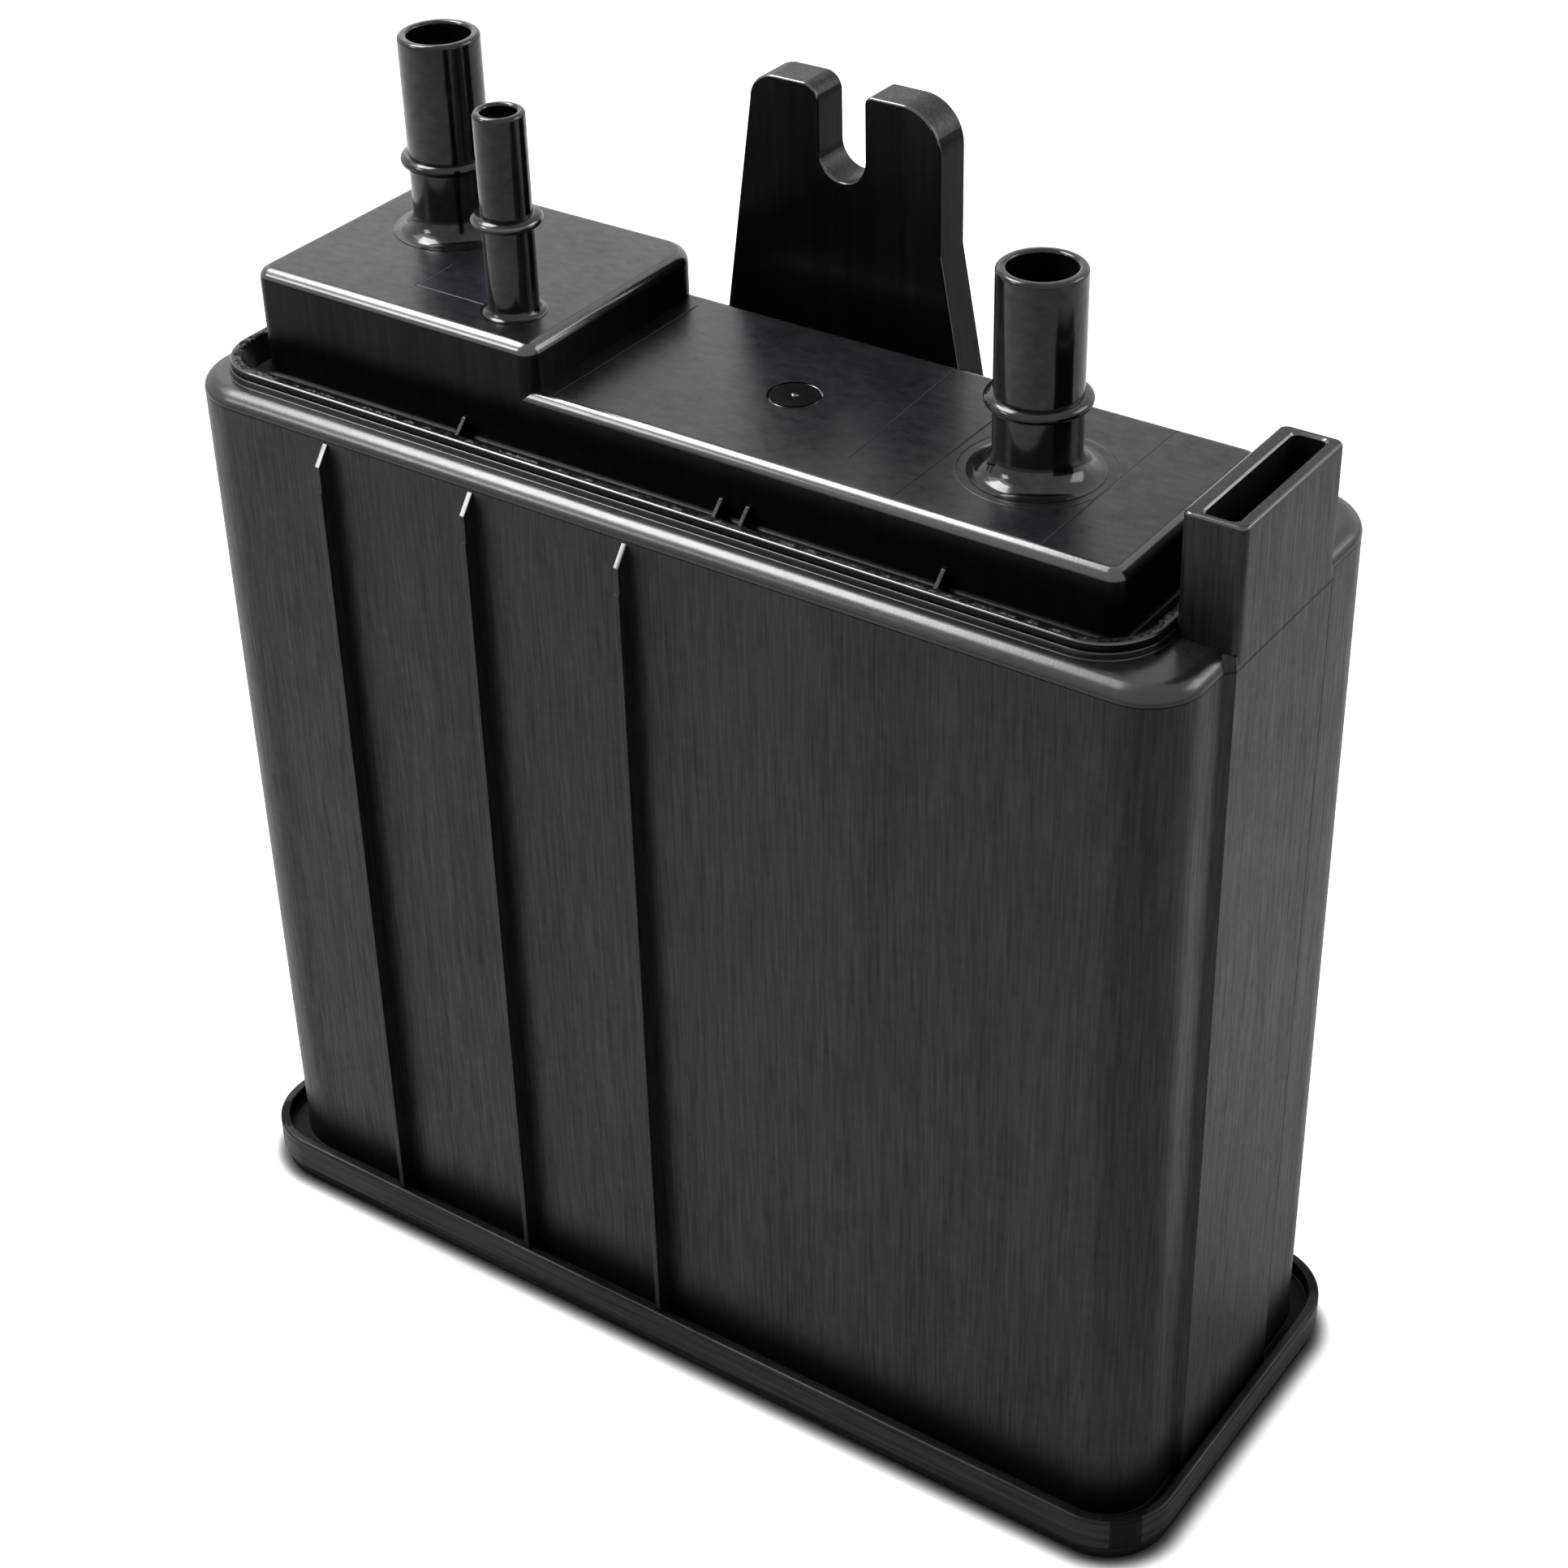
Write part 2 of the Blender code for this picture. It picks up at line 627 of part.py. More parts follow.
def plateau(inset):
    radii = (COVER_CORNER_RADIUS,) * 4
    bottom = COVER_UNDERSIDE + COVER_WALL / 2 if inset == 0 else COVER_UNDERSIDE - COVER_WALL
    left = COVER_LEFT + BOX_LENGTH / 2 if inset == 0 else PARTITION_X + PARTITION_THICKNESS / 2
    right = COVER_RIGHT - inset
    rear = PLATEAU_REAR_Y - inset
    return filleted_block("plateau", left, right, rear, radii, bottom, PLATEAU_TOP - inset, inset)


def high_box(inset):
    radii = (COVER_CORNER_RADIUS, COVER_CORNER_RADIUS, BOX_REAR_RADIUS, BOX_REAR_RADIUS)
    bottom = COVER_UNDERSIDE + COVER_WALL / 2 if inset == 0 else COVER_UNDERSIDE - COVER_WALL
    left = COVER_LEFT + inset
    right = BOX_RIGHT if inset == 0 else PARTITION_X - PARTITION_THICKNESS / 2
    rear = BOX_REAR_Y - inset
    return filleted_block("high_box", left, right, rear, radii, bottom, BOX_TOP - inset, inset)


def spigot_profile(surface, radius, height, bead_height, bead_radius, fillet):
    """Foot fillet, tube, hose bead and rounded tip, from bottom to top."""
    profile = [(radius + fillet, surface - COVER_WALL / 2), (radius + fillet, surface)]
    for step in range(1, 5):
        angle = math.radians(90.0 * step / 4)
        profile.append((radius + fillet * (1 - math.sin(angle)), surface + fillet * (1 - math.cos(angle))))
    bead = surface + bead_height
    for share_radius, share_height in ((0.0, -0.5), (0.75, -0.38), (1.0, 0.0), (0.75, 0.38), (0.0, 0.5)):
        profile.append((
            radius + (bead_radius - radius) * share_radius,
            bead + BEAD_THICKNESS * share_height,
        ))
    tip = surface + height
    profile += [
        (radius, tip - TIP_ROUND),
        (radius - TIP_ROUND * 0.3, tip - TIP_ROUND * 0.3),
        (radius - TIP_ROUND, tip),
    ]
    return profile


def add_spigot(cover, x, y, surface, radius, bore, height, bead_height, bead_radius, fillet):
    profile = spigot_profile(surface, radius, height, bead_height, bead_radius, fillet)
    join(cover, turned("spigot", profile, x, y))
    tip = surface + height
    hole = [
        (bore, surface - COVER_WALL * 2),
        (bore, tip - TIP_ROUND / 2),
        (bore + TIP_ROUND / 2, tip + TIP_ROUND / 4),
        (bore + TIP_ROUND / 2, tip + TIP_ROUND),
    ]
    cut(cover, turned("bore", hole, x, y))


def moat_fin(x):
    """Small upright fin across the moat, against the front wall of the cover."""
    front = COLLAR_FRONT + COLLAR_WALL + FIT_GAP + COVER_WALL / 2
    return block(
        "fin",
        x - MOAT_FIN_THICKNESS / 2,
        x + MOAT_FIN_THICKNESS / 2,
        front,
        COVER_FRONT_Y + COVER_WALL / 2,
        MOAT_FLOOR - COVER_WALL / 2,
        MOAT_FLOOR + MOAT_FIN_HEIGHT,
    )


def date_ring():
    """Sunk ring left by the date insert of the mould."""
    inner = DATE_RING_RADIUS - DATE_RING_WIDTH
    rings = []
    for radius, height in (
        (DATE_RING_RADIUS, PLATEAU_TOP + DATE_RING_SINK),
        (DATE_RING_RADIUS, PLATEAU_TOP - DATE_RING_SINK),
        (inner, PLATEAU_TOP - DATE_RING_SINK),
        (inner, PLATEAU_TOP + DATE_RING_SINK),
    ):
        outline = []
        for step in range(SPIGOT_FACETS):
            angle = 2 * math.pi * step / SPIGOT_FACETS
            outline.append((DATE_RING_X + radius * math.cos(angle), DATE_RING_Y + radius * math.sin(angle)))
        rings.append((outline, height))
    return loft("ring", rings, closed=True)


def build_cover():
    cover = cover_tray()
    join(cover, plateau(0.0))
    join(cover, high_box(0.0))
    cut(cover, plateau(COVER_WALL))
    cut(cover, high_box(COVER_WALL))
    for x in MOAT_FIN_X:
        join(cover, moat_fin(x))
    add_spigot(
        cover, TANK_SPIGOT_X, TANK_SPIGOT_Y, BOX_TOP, TANK_SPIGOT_RADIUS, TANK_SPIGOT_BORE,
        TANK_SPIGOT_HEIGHT, TANK_BEAD_HEIGHT, TANK_BEAD_RADIUS, TANK_FOOT_FILLET,
    )
    add_spigot(
        cover, PURGE_SPIGOT_X, PURGE_SPIGOT_Y, BOX_TOP, PURGE_SPIGOT_RADIUS, PURGE_SPIGOT_BORE,
        PURGE_SPIGOT_HEIGHT, PURGE_BEAD_HEIGHT, PURGE_BEAD_RADIUS, PURGE_FOOT_FILLET,
    )
    add_spigot(
        cover, VENT_SPIGOT_X, VENT_SPIGOT_Y, PLATEAU_TOP, VENT_SPIGOT_RADIUS, VENT_SPIGOT_BORE,
        VENT_SPIGOT_HEIGHT, VENT_BEAD_HEIGHT, VENT_BEAD_RADIUS, VENT_FOOT_FILLET,
    )
    cut(cover, date_ring())
    shade(cover)
    return cover


# Base

def base_pocket(column, row, width, depth, left, front):
    x = left + column * width
    y = front + row * depth
    half = BASE_RIB_WIDTH / 2
    return block("pocket", x + half, x + width - half, y + half, y + depth - half, -WALL, BASE_RIB_DEPTH)


def spring_places():
    """Chamber name and centre of each coil spring."""
    (left_west, left_east), (right_west, right_east) = chamber_span("left"), chamber_span("right")
    third = (right_east - right_west) / 4
    return (
        ("left_front", (left_west + left_east) / 2, BODY_FRONT / 2 + SPRING_RADIUS / 6),
        ("left_rear", (left_west + left_east) / 2, -BODY_FRONT / 2 - SPRING_RADIUS / 6),
        ("right_inner", right_west + third, 0.0),
        ("right_outer", right_east - third, 0.0),
    )


def spring_seat(x, y):
    """Short ring on the base that keeps a spring in place."""
    inner = SPRING_RADIUS + SPRING_WIRE_RADIUS + FIT_GAP
    rings = []
    for radius, height in (
        (inner + SPRING_SEAT_WALL, BASE_TOP - BASE_THICKNESS / 3),
        (inner + SPRING_SEAT_WALL, BASE_TOP + SPRING_SEAT_DEPTH),
        (inner, BASE_TOP + SPRING_SEAT_DEPTH),
        (inner, BASE_TOP - BASE_THICKNESS / 3),
    ):
        outline = []
        for step in range(SPRING_SEAT_FACETS):
            angle = 2 * math.pi * step / SPRING_SEAT_FACETS
            outline.append((x + radius * math.cos(angle), y + radius * math.sin(angle)))
        rings.append((outline, height))
    return loft("seat", rings, closed=True)


def build_base():
    """Welded plate that closes the chambers, with a locating rim and a ribbed underside."""
    rim_outset = BODY_DRAFT - WALL - FIT_GAP
    rings = [
        (flange_outline(BASE_INSET + BASE_CHAMFER), 0.0),
        (flange_outline(BASE_INSET), BASE_CHAMFER),
        (flange_outline(BASE_INSET), BASE_TOP),
        (body_outline(rim_outset), BASE_TOP),
        (body_outline(rim_outset), BASE_TOP + BASE_RIM_HEIGHT),
        (body_outline(rim_outset - BASE_RIM_WALL), BASE_TOP + BASE_RIM_HEIGHT),
        (body_outline(rim_outset - BASE_RIM_WALL), BASE_TOP),
    ]
    base = loft("bottom_cover", rings, BASE_PLASTIC)
    length = BODY_LENGTH - 2 * BASE_RIB_MARGIN
    depth = BODY_DEPTH - 2 * BASE_RIB_MARGIN
    for column in range(BASE_RIB_COLUMNS):
        for row in range(BASE_RIB_ROWS):
            cut(base, base_pocket(
                column, row, length / BASE_RIB_COLUMNS, depth / BASE_RIB_ROWS, -length / 2, -depth / 2))
    for _, x, y in spring_places():
        join(base, spring_seat(x, y))
    shade(base)
    return base


# Chamber contents, from the base upwards

SPRING_BOTTOM = BASE_TOP + FIT_GAP
PLATE_BOTTOM = SPRING_BOTTOM + SPRING_HEIGHT + FIT_GAP
LOWER_SCREEN_BOTTOM = PLATE_BOTTOM + PLATE_THICKNESS + FIT_GAP
BED_BOTTOM = LOWER_SCREEN_BOTTOM + SCREEN_THICKNESS + FIT_GAP
GRID_TOP = COVER_UNDERSIDE - FIT_GAP - GRID_LEG_HEIGHT
GRID_BOTTOM = GRID_TOP - GRID_THICKNESS
UPPER_SCREEN_BOTTOM = GRID_BOTTOM - FIT_GAP - SCREEN_THICKNESS
BED_TOP = UPPER_SCREEN_BOTTOM - FIT_GAP


def chamber_span(side):
    """X limits of a chamber, clear of the walls."""
    if side == "left":
        return (-BODY_RIGHT + WALL + BED_CLEARANCE, PARTITION_X - PARTITION_THICKNESS / 2 - BED_CLEARANCE)
    return (PARTITION_X + PARTITION_THICKNESS / 2 + BED_CLEARANCE, SOCKET_INNER_X - BED_CLEARANCE)


def chamber_outline(side):
    left, right = chamber_span(side)
    half_depth = BODY_DEPTH / 2 - WALL - BED_CLEARANCE
    wide = BODY_CORNER_RADIUS - WALL - BED_CLEARANCE
    tight = BED_CORNER_RADIUS
    if side == "left":
        radii = (wide, tight, tight, wide)
    else:
        radii = (tight, tight, tight, tight)
    return rounded_outline(left, right, -half_depth, half_depth, radii, 4)


def filling(name, side, bottom, top, material):
    outline = chamber_outline(side)
    part = loft(name, [(outline, bottom), (outline, top)], material)
    shade(part)
    return part


def perforated(name, side, bottom, thickness, material):
    """Plate with a grid of square openings and solid edges."""
    part = filling(name, side, bottom, bottom + thickness, material)
    left, right = chamber_span(side)
    half_depth = BODY_DEPTH / 2 - WALL - BED_CLEARANCE
    margin = GRID_CELL / 2
    columns = int((right - left - margin) // GRID_CELL)
    rows = int((2 * half_depth - margin) // GRID_CELL)
    start_x = (left + right) / 2 - columns * GRID_CELL / 2
    start_y = -rows * GRID_CELL / 2
    for column in range(columns):
        for row in range(rows):
            x = start_x + column * GRID_CELL
            y = start_y + row * GRID_CELL
            cut(part, block(
                "opening",
                x + GRID_BAR / 2,
                x + GRID_CELL - GRID_BAR / 2,
                y + GRID_BAR / 2,
                y + GRID_CELL - GRID_BAR / 2,
                bottom - thickness,
                bottom + 2 * thickness,
            ))
    return part


def support_grid(name, side):
    """Upper grid with four legs that the cover presses on."""
    part = perforated(name, side, GRID_BOTTOM, GRID_THICKNESS, NATURAL_PLASTIC)
    left, right = chamber_span(side)
    reach_x = GRID_CELL
    reach_y = -COLLAR_FRONT - COLLAR_WALL - COVER_WALL * 2
    for x in (max(left, COLLAR_LEFT) + reach_x, min(right, COLLAR_RIGHT) - reach_x):
        for y in (-reach_y, reach_y):
            join(part, block(
                "leg",
                x - GRID_LEG_WIDTH / 2,
                x + GRID_LEG_WIDTH / 2,
                y - GRID_LEG_WIDTH / 2,
                y + GRID_LEG_WIDTH / 2,
                GRID_BOTTOM + GRID_THICKNESS / 2,
                GRID_TOP + GRID_LEG_HEIGHT,
            ))
    shade(part)
    return part


def coil_spring(name, x, y):
    """Round-wire compression spring, its ends lying flat on their seats."""
    steps = SPRING_TURNS * SPRING_FACETS_A_TURN
    rise = SPRING_HEIGHT - 2 * SPRING_WIRE_RADIUS
    builder = bmesh.new()
    rings = []
    for step in range(steps + 1):
        share = step / steps
        angle = 2 * math.pi * SPRING_TURNS * share
        height = SPRING_BOTTOM + SPRING_WIRE_RADIUS + rise * share
        outward = Vector((math.cos(angle), math.sin(angle), 0))
        centre = Vector((x, y, height)) + outward * SPRING_RADIUS
        ring = []
        for side in range(WIRE_FACETS):
            turn = 2 * math.pi * side / WIRE_FACETS
            offset = outward * math.cos(turn) + Vector((0, 0, 1)) * math.sin(turn)
            ring.append(builder.verts.new(centre + offset * SPRING_WIRE_RADIUS))
        rings.append(ring)
    for lower, upper in zip(rings, rings[1:]):
        for side in range(WIRE_FACETS):
            after = (side + 1) % WIRE_FACETS
            builder.faces.new((lower[side], lower[after], upper[after], upper[side]))
    builder.faces.new(list(reversed(rings[0])))
    builder.faces.new(rings[-1])
    part = finish(name, builder, SPRING_STEEL)
    shade(part, 70.0)
    return part


def build_contents():
    for name, x, y in spring_places():
        coil_spring("spring_" + name, x, y)
    for side in ("left", "right"):
        perforated("pressure_plate_" + side, side, PLATE_BOTTOM, PLATE_THICKNESS, NATURAL_PLASTIC)
        filling("lower_screen_" + side, side, LOWER_SCREEN_BOTTOM, LOWER_SCREEN_BOTTOM + SCREEN_THICKNESS, FOAM)
        filling("carbon_bed_" + side, side, BED_BOTTOM, BED_TOP, CARBON)
        filling("upper_screen_" + side, side, UPPER_SCREEN_BOTTOM, UPPER_SCREEN_BOTTOM + SCREEN_THICKNESS, FOAM)
        support_grid("support_grid_" + side, side)


build_housing()
build_cover()
build_base()
build_contents()
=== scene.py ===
# %% [markdown]
# # A charcoal canister, dressed over its CAD frame
# A charcoal canister stores fuel vapour in a car. It is a tall box moulded in
# black nylon, closed by a welded top cover with three hose spigots and by a
# welded plate at its foot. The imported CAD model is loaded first. It fixes the
# size of everything that follows, so each new piece is built in its place.

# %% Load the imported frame
import math

import bmesh
import bpy
from mathutils import Matrix, Vector, noise


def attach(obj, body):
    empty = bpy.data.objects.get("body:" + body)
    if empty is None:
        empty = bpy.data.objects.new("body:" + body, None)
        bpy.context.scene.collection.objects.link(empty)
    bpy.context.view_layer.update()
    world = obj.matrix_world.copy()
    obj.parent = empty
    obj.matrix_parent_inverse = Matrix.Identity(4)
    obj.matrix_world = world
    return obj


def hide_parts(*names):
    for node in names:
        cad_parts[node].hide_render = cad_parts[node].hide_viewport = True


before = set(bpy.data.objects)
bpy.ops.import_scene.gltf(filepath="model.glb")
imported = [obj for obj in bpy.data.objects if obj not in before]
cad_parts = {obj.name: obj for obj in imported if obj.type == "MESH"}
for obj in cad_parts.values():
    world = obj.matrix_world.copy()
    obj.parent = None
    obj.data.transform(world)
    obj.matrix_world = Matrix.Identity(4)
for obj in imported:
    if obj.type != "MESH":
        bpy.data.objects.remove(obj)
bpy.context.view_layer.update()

MM = 0.001

# %% [markdown]
# ## Camera
# The camera comes early, because every later choice is judged through it. Its
# place and its lens were worked out from the straight edges of the moulding,
# which meet at vanishing points. A rotation is written here as the three axes of
# the camera: what is right, what is up, and what it looks along.

# %% Place the camera
CAMERA_PLACE = Vector((0.28974, -0.39973, 0.4571))
CAMERA_RIGHT = Vector((0.82314, 0.56736, -0.02316))
CAMERA_UP = Vector((-0.30417, 0.475, 0.82575))
CAMERA_AHEAD = Vector((-0.4795, 0.67266, -0.56357))
LENS = 68.257
SENSOR_WIDTH = 36.0
NEAREST, FURTHEST = 0.01, 50.0


def make_camera():
    data = bpy.data.cameras.new("studio_camera")
    data.lens = LENS
    data.sensor_width = SENSOR_WIDTH
    data.clip_start, data.clip_end = NEAREST, FURTHEST
    camera = bpy.data.objects.new("studio_camera", data)
    bpy.context.collection.objects.link(camera)
    camera.rotation_mode = "QUATERNION"
    camera.location = CAMERA_PLACE
    rows = [(CAMERA_RIGHT[i], CAMERA_UP[i], -CAMERA_AHEAD[i]) for i in range(3)]
    camera.rotation_quaternion = Matrix(rows).to_quaternion()
    bpy.context.scene.camera = camera


make_camera()
print("camera is", round(CAMERA_PLACE.length, 3), "m from the middle of the canister's foot")

# %% [markdown]
# ## Mesh helpers
# Nearly every face of a moulding belongs to a stack of outlines: the wall, the
# foot and the welded rim are all rounded rectangles at some height. A loft skins
# such a stack with clean quads, which gives a better surface than cutting boxes
# does. What can't be lofted is a prism, bevelled before it is joined on.

# %% Outlines and rounded profiles
CORNER_STEPS = 14


def rounded_outline(left, right, front, rear, radii, steps=CORNER_STEPS):
    """Rounded rectangle seen from above; radii are front left, front right, rear right, rear left."""
    corners = (
        (left + radii[0], front + radii[0], radii[0], 180),
        (right - radii[1], front + radii[1], radii[1], 270),
        (right - radii[2], rear - radii[2], radii[2], 0),
        (left + radii[3], rear - radii[3], radii[3], 90),
    )
    points = []
    for centre_x, centre_y, radius, start in corners:
        for step in range(steps + 1):
            angle = math.radians(start + 90 * step / steps)
            points.append((centre_x + radius * math.cos(angle), centre_y + radius * math.sin(angle)))
    return points


def eased(points, steps=4):
    """Profile of (offset, height, rounding) with each corner replaced by a small curve."""
    curve = []
    for index, (offset, height, rounding) in enumerate(points):
        here = Vector((offset, height))
        if rounding == 0 or index in (0, len(points) - 1):
            curve.append(tuple(here))
            continue
        before = Vector(points[index - 1][:2]) - here
        after = Vector(points[index + 1][:2]) - here
        start = here + before.normalized() * min(rounding, before.length / 2)
        end = here + after.normalized() * min(rounding, after.length / 2)
        for step in range(steps + 1):
            share = step / steps
            point = start * (1 - share) ** 2 + here * 2 * share * (1 - share) + end * share ** 2
            curve.append(tuple(point))
    return curve


def stack(outline_of, profile, steps=4):
    """Rings of 3-D points, one for each point of an eased profile."""
    rings = []
    for offset, height in eased(profile, steps):
        rings.append([(x * MM, y * MM, height * MM) for x, y in outline_of(offset)])
    return rings


print("a rounded corner has", CORNER_STEPS + 1, "points")


# %% Solids
def new_object(name, mesh_builder):
    bmesh.ops.recalc_face_normals(mesh_builder, faces=mesh_builder.faces)
    mesh = bpy.data.meshes.new(name)
    mesh_builder.to_mesh(mesh)
    mesh_builder.free()
    made = bpy.data.objects.new(name, mesh)
    bpy.context.collection.objects.link(made)
    return made


def loft(name, rings, ring_closed=False):
    """Skin a stack of rings: capped at both ends, or closed into a tube."""
    builder = bmesh.new()
    loops = [[builder.verts.new(point) for point in ring] for ring in rings]
    pairs = list(zip(loops, loops[1:]))
    if ring_closed:
        pairs.append((loops[-1], loops[0]))
    for lower, upper in pairs:
        for index in range(len(lower)):
            after = (index + 1) % len(lower)
            builder.faces.new((lower[index], lower[after], upper[after], upper[index]))
    if not ring_closed:
        builder.faces.new(loops[0][::-1])
        builder.faces.new(loops[-1])
    return new_object(name, builder)


def prism(name, points, direction, bevel=0.0, segments=2, least_angle=50.0):
    """Prism over a flat outline in mm, with its edges rounded over by a bevel."""
    builder = bmesh.new()
    face = builder.faces.new([builder.verts.new(Vector(point) * MM) for point in points])
    grown = bmesh.ops.extrude_face_region(builder, geom=[face])
    moved = [item for item in grown["geom"] if isinstance(item, bmesh.types.BMVert)]
    bmesh.ops.translate(builder, verts=moved, vec=Vector(direction) * MM)
    bmesh.ops.recalc_face_normals(builder, faces=builder.faces)
    if bevel:
        round_edges(builder, bevel, segments, least_angle)
    return new_object(name, builder)


def round_edges(builder, width, segments, least_angle):
    """Bevel the edges that turn by more than least_angle degrees."""
    limit = math.radians(least_angle)
    sharp = [edge for edge in builder.edges if edge.calc_face_angle(0.0) > limit]
    bmesh.ops.bevel(
        builder, geom=sharp, offset=width * MM, segments=segments, profile=0.5,
        affect="EDGES", clamp_overlap=True,
    )


def block(name, low, high, bevel=0.0):
    (left, front, bottom), (right, rear, top) = low, high
    points = [(left, front, bottom), (right, front, bottom), (right, rear, bottom), (left, rear, bottom)]
    return prism(name, points, (0, 0, top - bottom), bevel)


def circle(x, y, radius, height, steps):
    """Level ring of 3-D points about an upright axis."""
    ring = []
    for step in range(steps):
        angle = 2 * math.pi * step / steps
        ring.append(((x + radius * math.cos(angle)) * MM, (y + radius * math.sin(angle)) * MM, height * MM))
    return ring


def turned(name, profile, x, y, steps=72):
    """Solid of revolution about an upright axis; profile is (radius, height) in mm."""
    return loft(name, [circle(x, y, radius, height, steps) for radius, height in profile])


# %% Joining, cutting and shading
def combine(target, tool, operation):
    """Exact boolean of target with tool, which is used up."""
    modifier = target.modifiers.new("combine", "BOOLEAN")
    modifier.operation = operation
    modifier.solver = "EXACT"
    modifier.object = tool
    view = bpy.context.evaluated_depsgraph_get()
    mesh = bpy.data.meshes.new_from_object(target.evaluated_get(view))
    target.modifiers.clear()
    target.data = mesh
    bpy.data.objects.remove(tool, do_unlink=True)


def join(target, *tools):
    for tool in tools:
        combine(target, tool, "UNION")


def cut(target, *tools):
    for tool in tools:
        combine(target, tool, "DIFFERENCE")


def smooth(piece, degrees=35.0):
    """Smooth shading with creases, and normals that follow the large flat faces."""
    piece.data.shade_smooth()
    piece.data.set_sharp_from_angle(angle=math.radians(degrees))
    modifier = piece.modifiers.new("flat_faces_first", "WEIGHTED_NORMAL")
    modifier.keep_sharp = True
    return piece


# %% [markdown]
# ## Housing
# The housing is one moulding: wall, foot with its upstanding lip, collar, ribs,
# bracket socket and hanging tab. Its wall leans in by half a millimetre for the
# mould, and ends at a parting line under a rounded shoulder. The shell is one
# closed loft, so its wall has a true inside.

# %% Sizes of the housing, in mm
HALF_LENGTH = 110.0
HALF_DEPTH = 40.0
WALL = 2.5
DRAFT = 0.6
CORNER = 13.8
NEAR_CORNER = 10.8
SHOULDER = 198.9
SHOULDER_ROUND = 3.0
SHOULDER_REACH = 3.6
PARTING = SHOULDER - SHOULDER_ROUND
CEILING = SHOULDER - WALL
BASE_TOP = 3.1
SEAM = 0.3
FLANGE_BOTTOM = BASE_TOP + SEAM
LIP_TOP = FLANGE_BOTTOM + 7.4
GUTTER = FLANGE_BOTTOM + 4.3
LIP_WALL = 2.2
FLANGE_REACH = DRAFT + 4.7
FLANGE_CORNER = 14.8
COLLAR_TOP = SHOULDER + 1.5
COLLAR_WALL = 2.2
COLLAR_CORNER = 12.2
COLLAR_BOX = (-105.8, 100.0, -35.8, 35.8)
SMALLEST = 0.4
print("foot of the housing:", 2 * (HALF_LENGTH + FLANGE_REACH), "by", 2 * (HALF_DEPTH + FLANGE_REACH), "mm")


def body_outline(outset):
    length, depth = HALF_LENGTH + outset, HALF_DEPTH + outset
    usual, near = max(CORNER + outset, SMALLEST), max(NEAR_CORNER + outset, SMALLEST)
    return rounded_outline(-length, length, -depth, depth, (usual, near, usual, usual))


def flange_outline(inset):
    length, depth = HALF_LENGTH + FLANGE_REACH - inset, HALF_DEPTH + FLANGE_REACH - inset
    return rounded_outline(-length, length, -depth, depth, (max(FLANGE_CORNER - inset, SMALLEST),) * 4)


def collar_outline(inset):
    left, right, front, rear = COLLAR_BOX
    radius = max(COLLAR_CORNER - inset, SMALLEST)
    return rounded_outline(left + inset, right - inset, front + inset, rear - inset, (radius,) * 4)


# %% Loft the shell
PARTING_STEP = 0.08


def housing_shell():
    rings = stack(flange_outline, [
        (6.0, FLANGE_BOTTOM, 0), (0.0, FLANGE_BOTTOM, 0.35), (0.0, LIP_TOP, 0.7),
        (LIP_WALL, LIP_TOP, 0.5), (LIP_WALL, GUTTER, 0.5), (LIP_WALL + 0.9, GUTTER, 0),
    ])
    rings += stack(body_outline, [
        (DRAFT + 0.9, GUTTER, 0), (DRAFT, GUTTER, 0.7), (0.0, PARTING - 0.1, 0), (PARTING_STEP, PARTING, 0),
    ])
    fillet = []
    for step in range(1, 11):
        angle = math.radians(90 * step / 10)
        fillet.append((
            PARTING_STEP - SHOULDER_REACH * (1 - math.cos(angle)),
            PARTING + SHOULDER_ROUND * math.sin(angle), 0,
        ))
    rings += stack(body_outline, fillet)
    rings += stack(collar_outline, [
        (-0.5, SHOULDER, 0), (0.0, SHOULDER, 0.3), (0.0, COLLAR_TOP, 0.3),
        (COLLAR_WALL, COLLAR_TOP, 0.3), (COLLAR_WALL, CEILING, 0),
    ])
    rings += stack(body_outline, [(-WALL, CEILING, 0), (DRAFT - WALL, FLANGE_BOTTOM, 0)])
    return loft("canister_housing", rings, ring_closed=True)


housing = housing_shell()
print("shell has", len(housing.data.polygons), "faces")

# %% [markdown]
# The three ribs stiffen the long wall. Each is a thin blade with a chamfered top,
# and a small step where two blocks of the mould met. A bevel of two segments
# catches a line of light along the blade's edge.

# %% Ribs on the front wall
RIB_X = (-71.1, -35.6, -0.1)
RIB_THICKNESS = 1.2
RIB_TOP = PARTING - 0.6
RIB_CHAMFER = 3.84
RIB_STEP_HEIGHT = PARTING - 10.0
RIB_STEP = 0.25
RIB_REACH_TOP, RIB_REACH_FOOT = 3.0, 3.9
INTO_FOOT = 2.0


def front_rib(x):
    """Blade whose side is (y, z) from its root in the wall, round its foot, to its chamfer."""
    root, wall = -HALF_DEPTH + WALL / 2, -HALF_DEPTH
    face, foot = wall - RIB_REACH_TOP, wall - DRAFT - RIB_REACH_FOOT
    profile = [
        (root, GUTTER - INTO_FOOT), (foot, GUTTER - INTO_FOOT), (face - RIB_STEP, RIB_STEP_HEIGHT),
        (face, RIB_STEP_HEIGHT + RIB_STEP), (face, RIB_TOP - RIB_CHAMFER), (wall, RIB_TOP), (root, RIB_TOP),
    ]
    points = [(x - RIB_THICKNESS / 2, y, z) for y, z in profile]
    return prism("rib", points, (RIB_THICKNESS, 0, 0), bevel=0.14, least_angle=30.0)


join(housing, *[front_rib(x) for x in RIB_X])
print("three ribs joined:", len(housing.data.polygons), "faces")

# %% [markdown]
# A steel tongue on the car's bracket slides down into the socket. The socket's
# outer wall is the top of a flat pad on the end wall, which has one sloping
# flank.

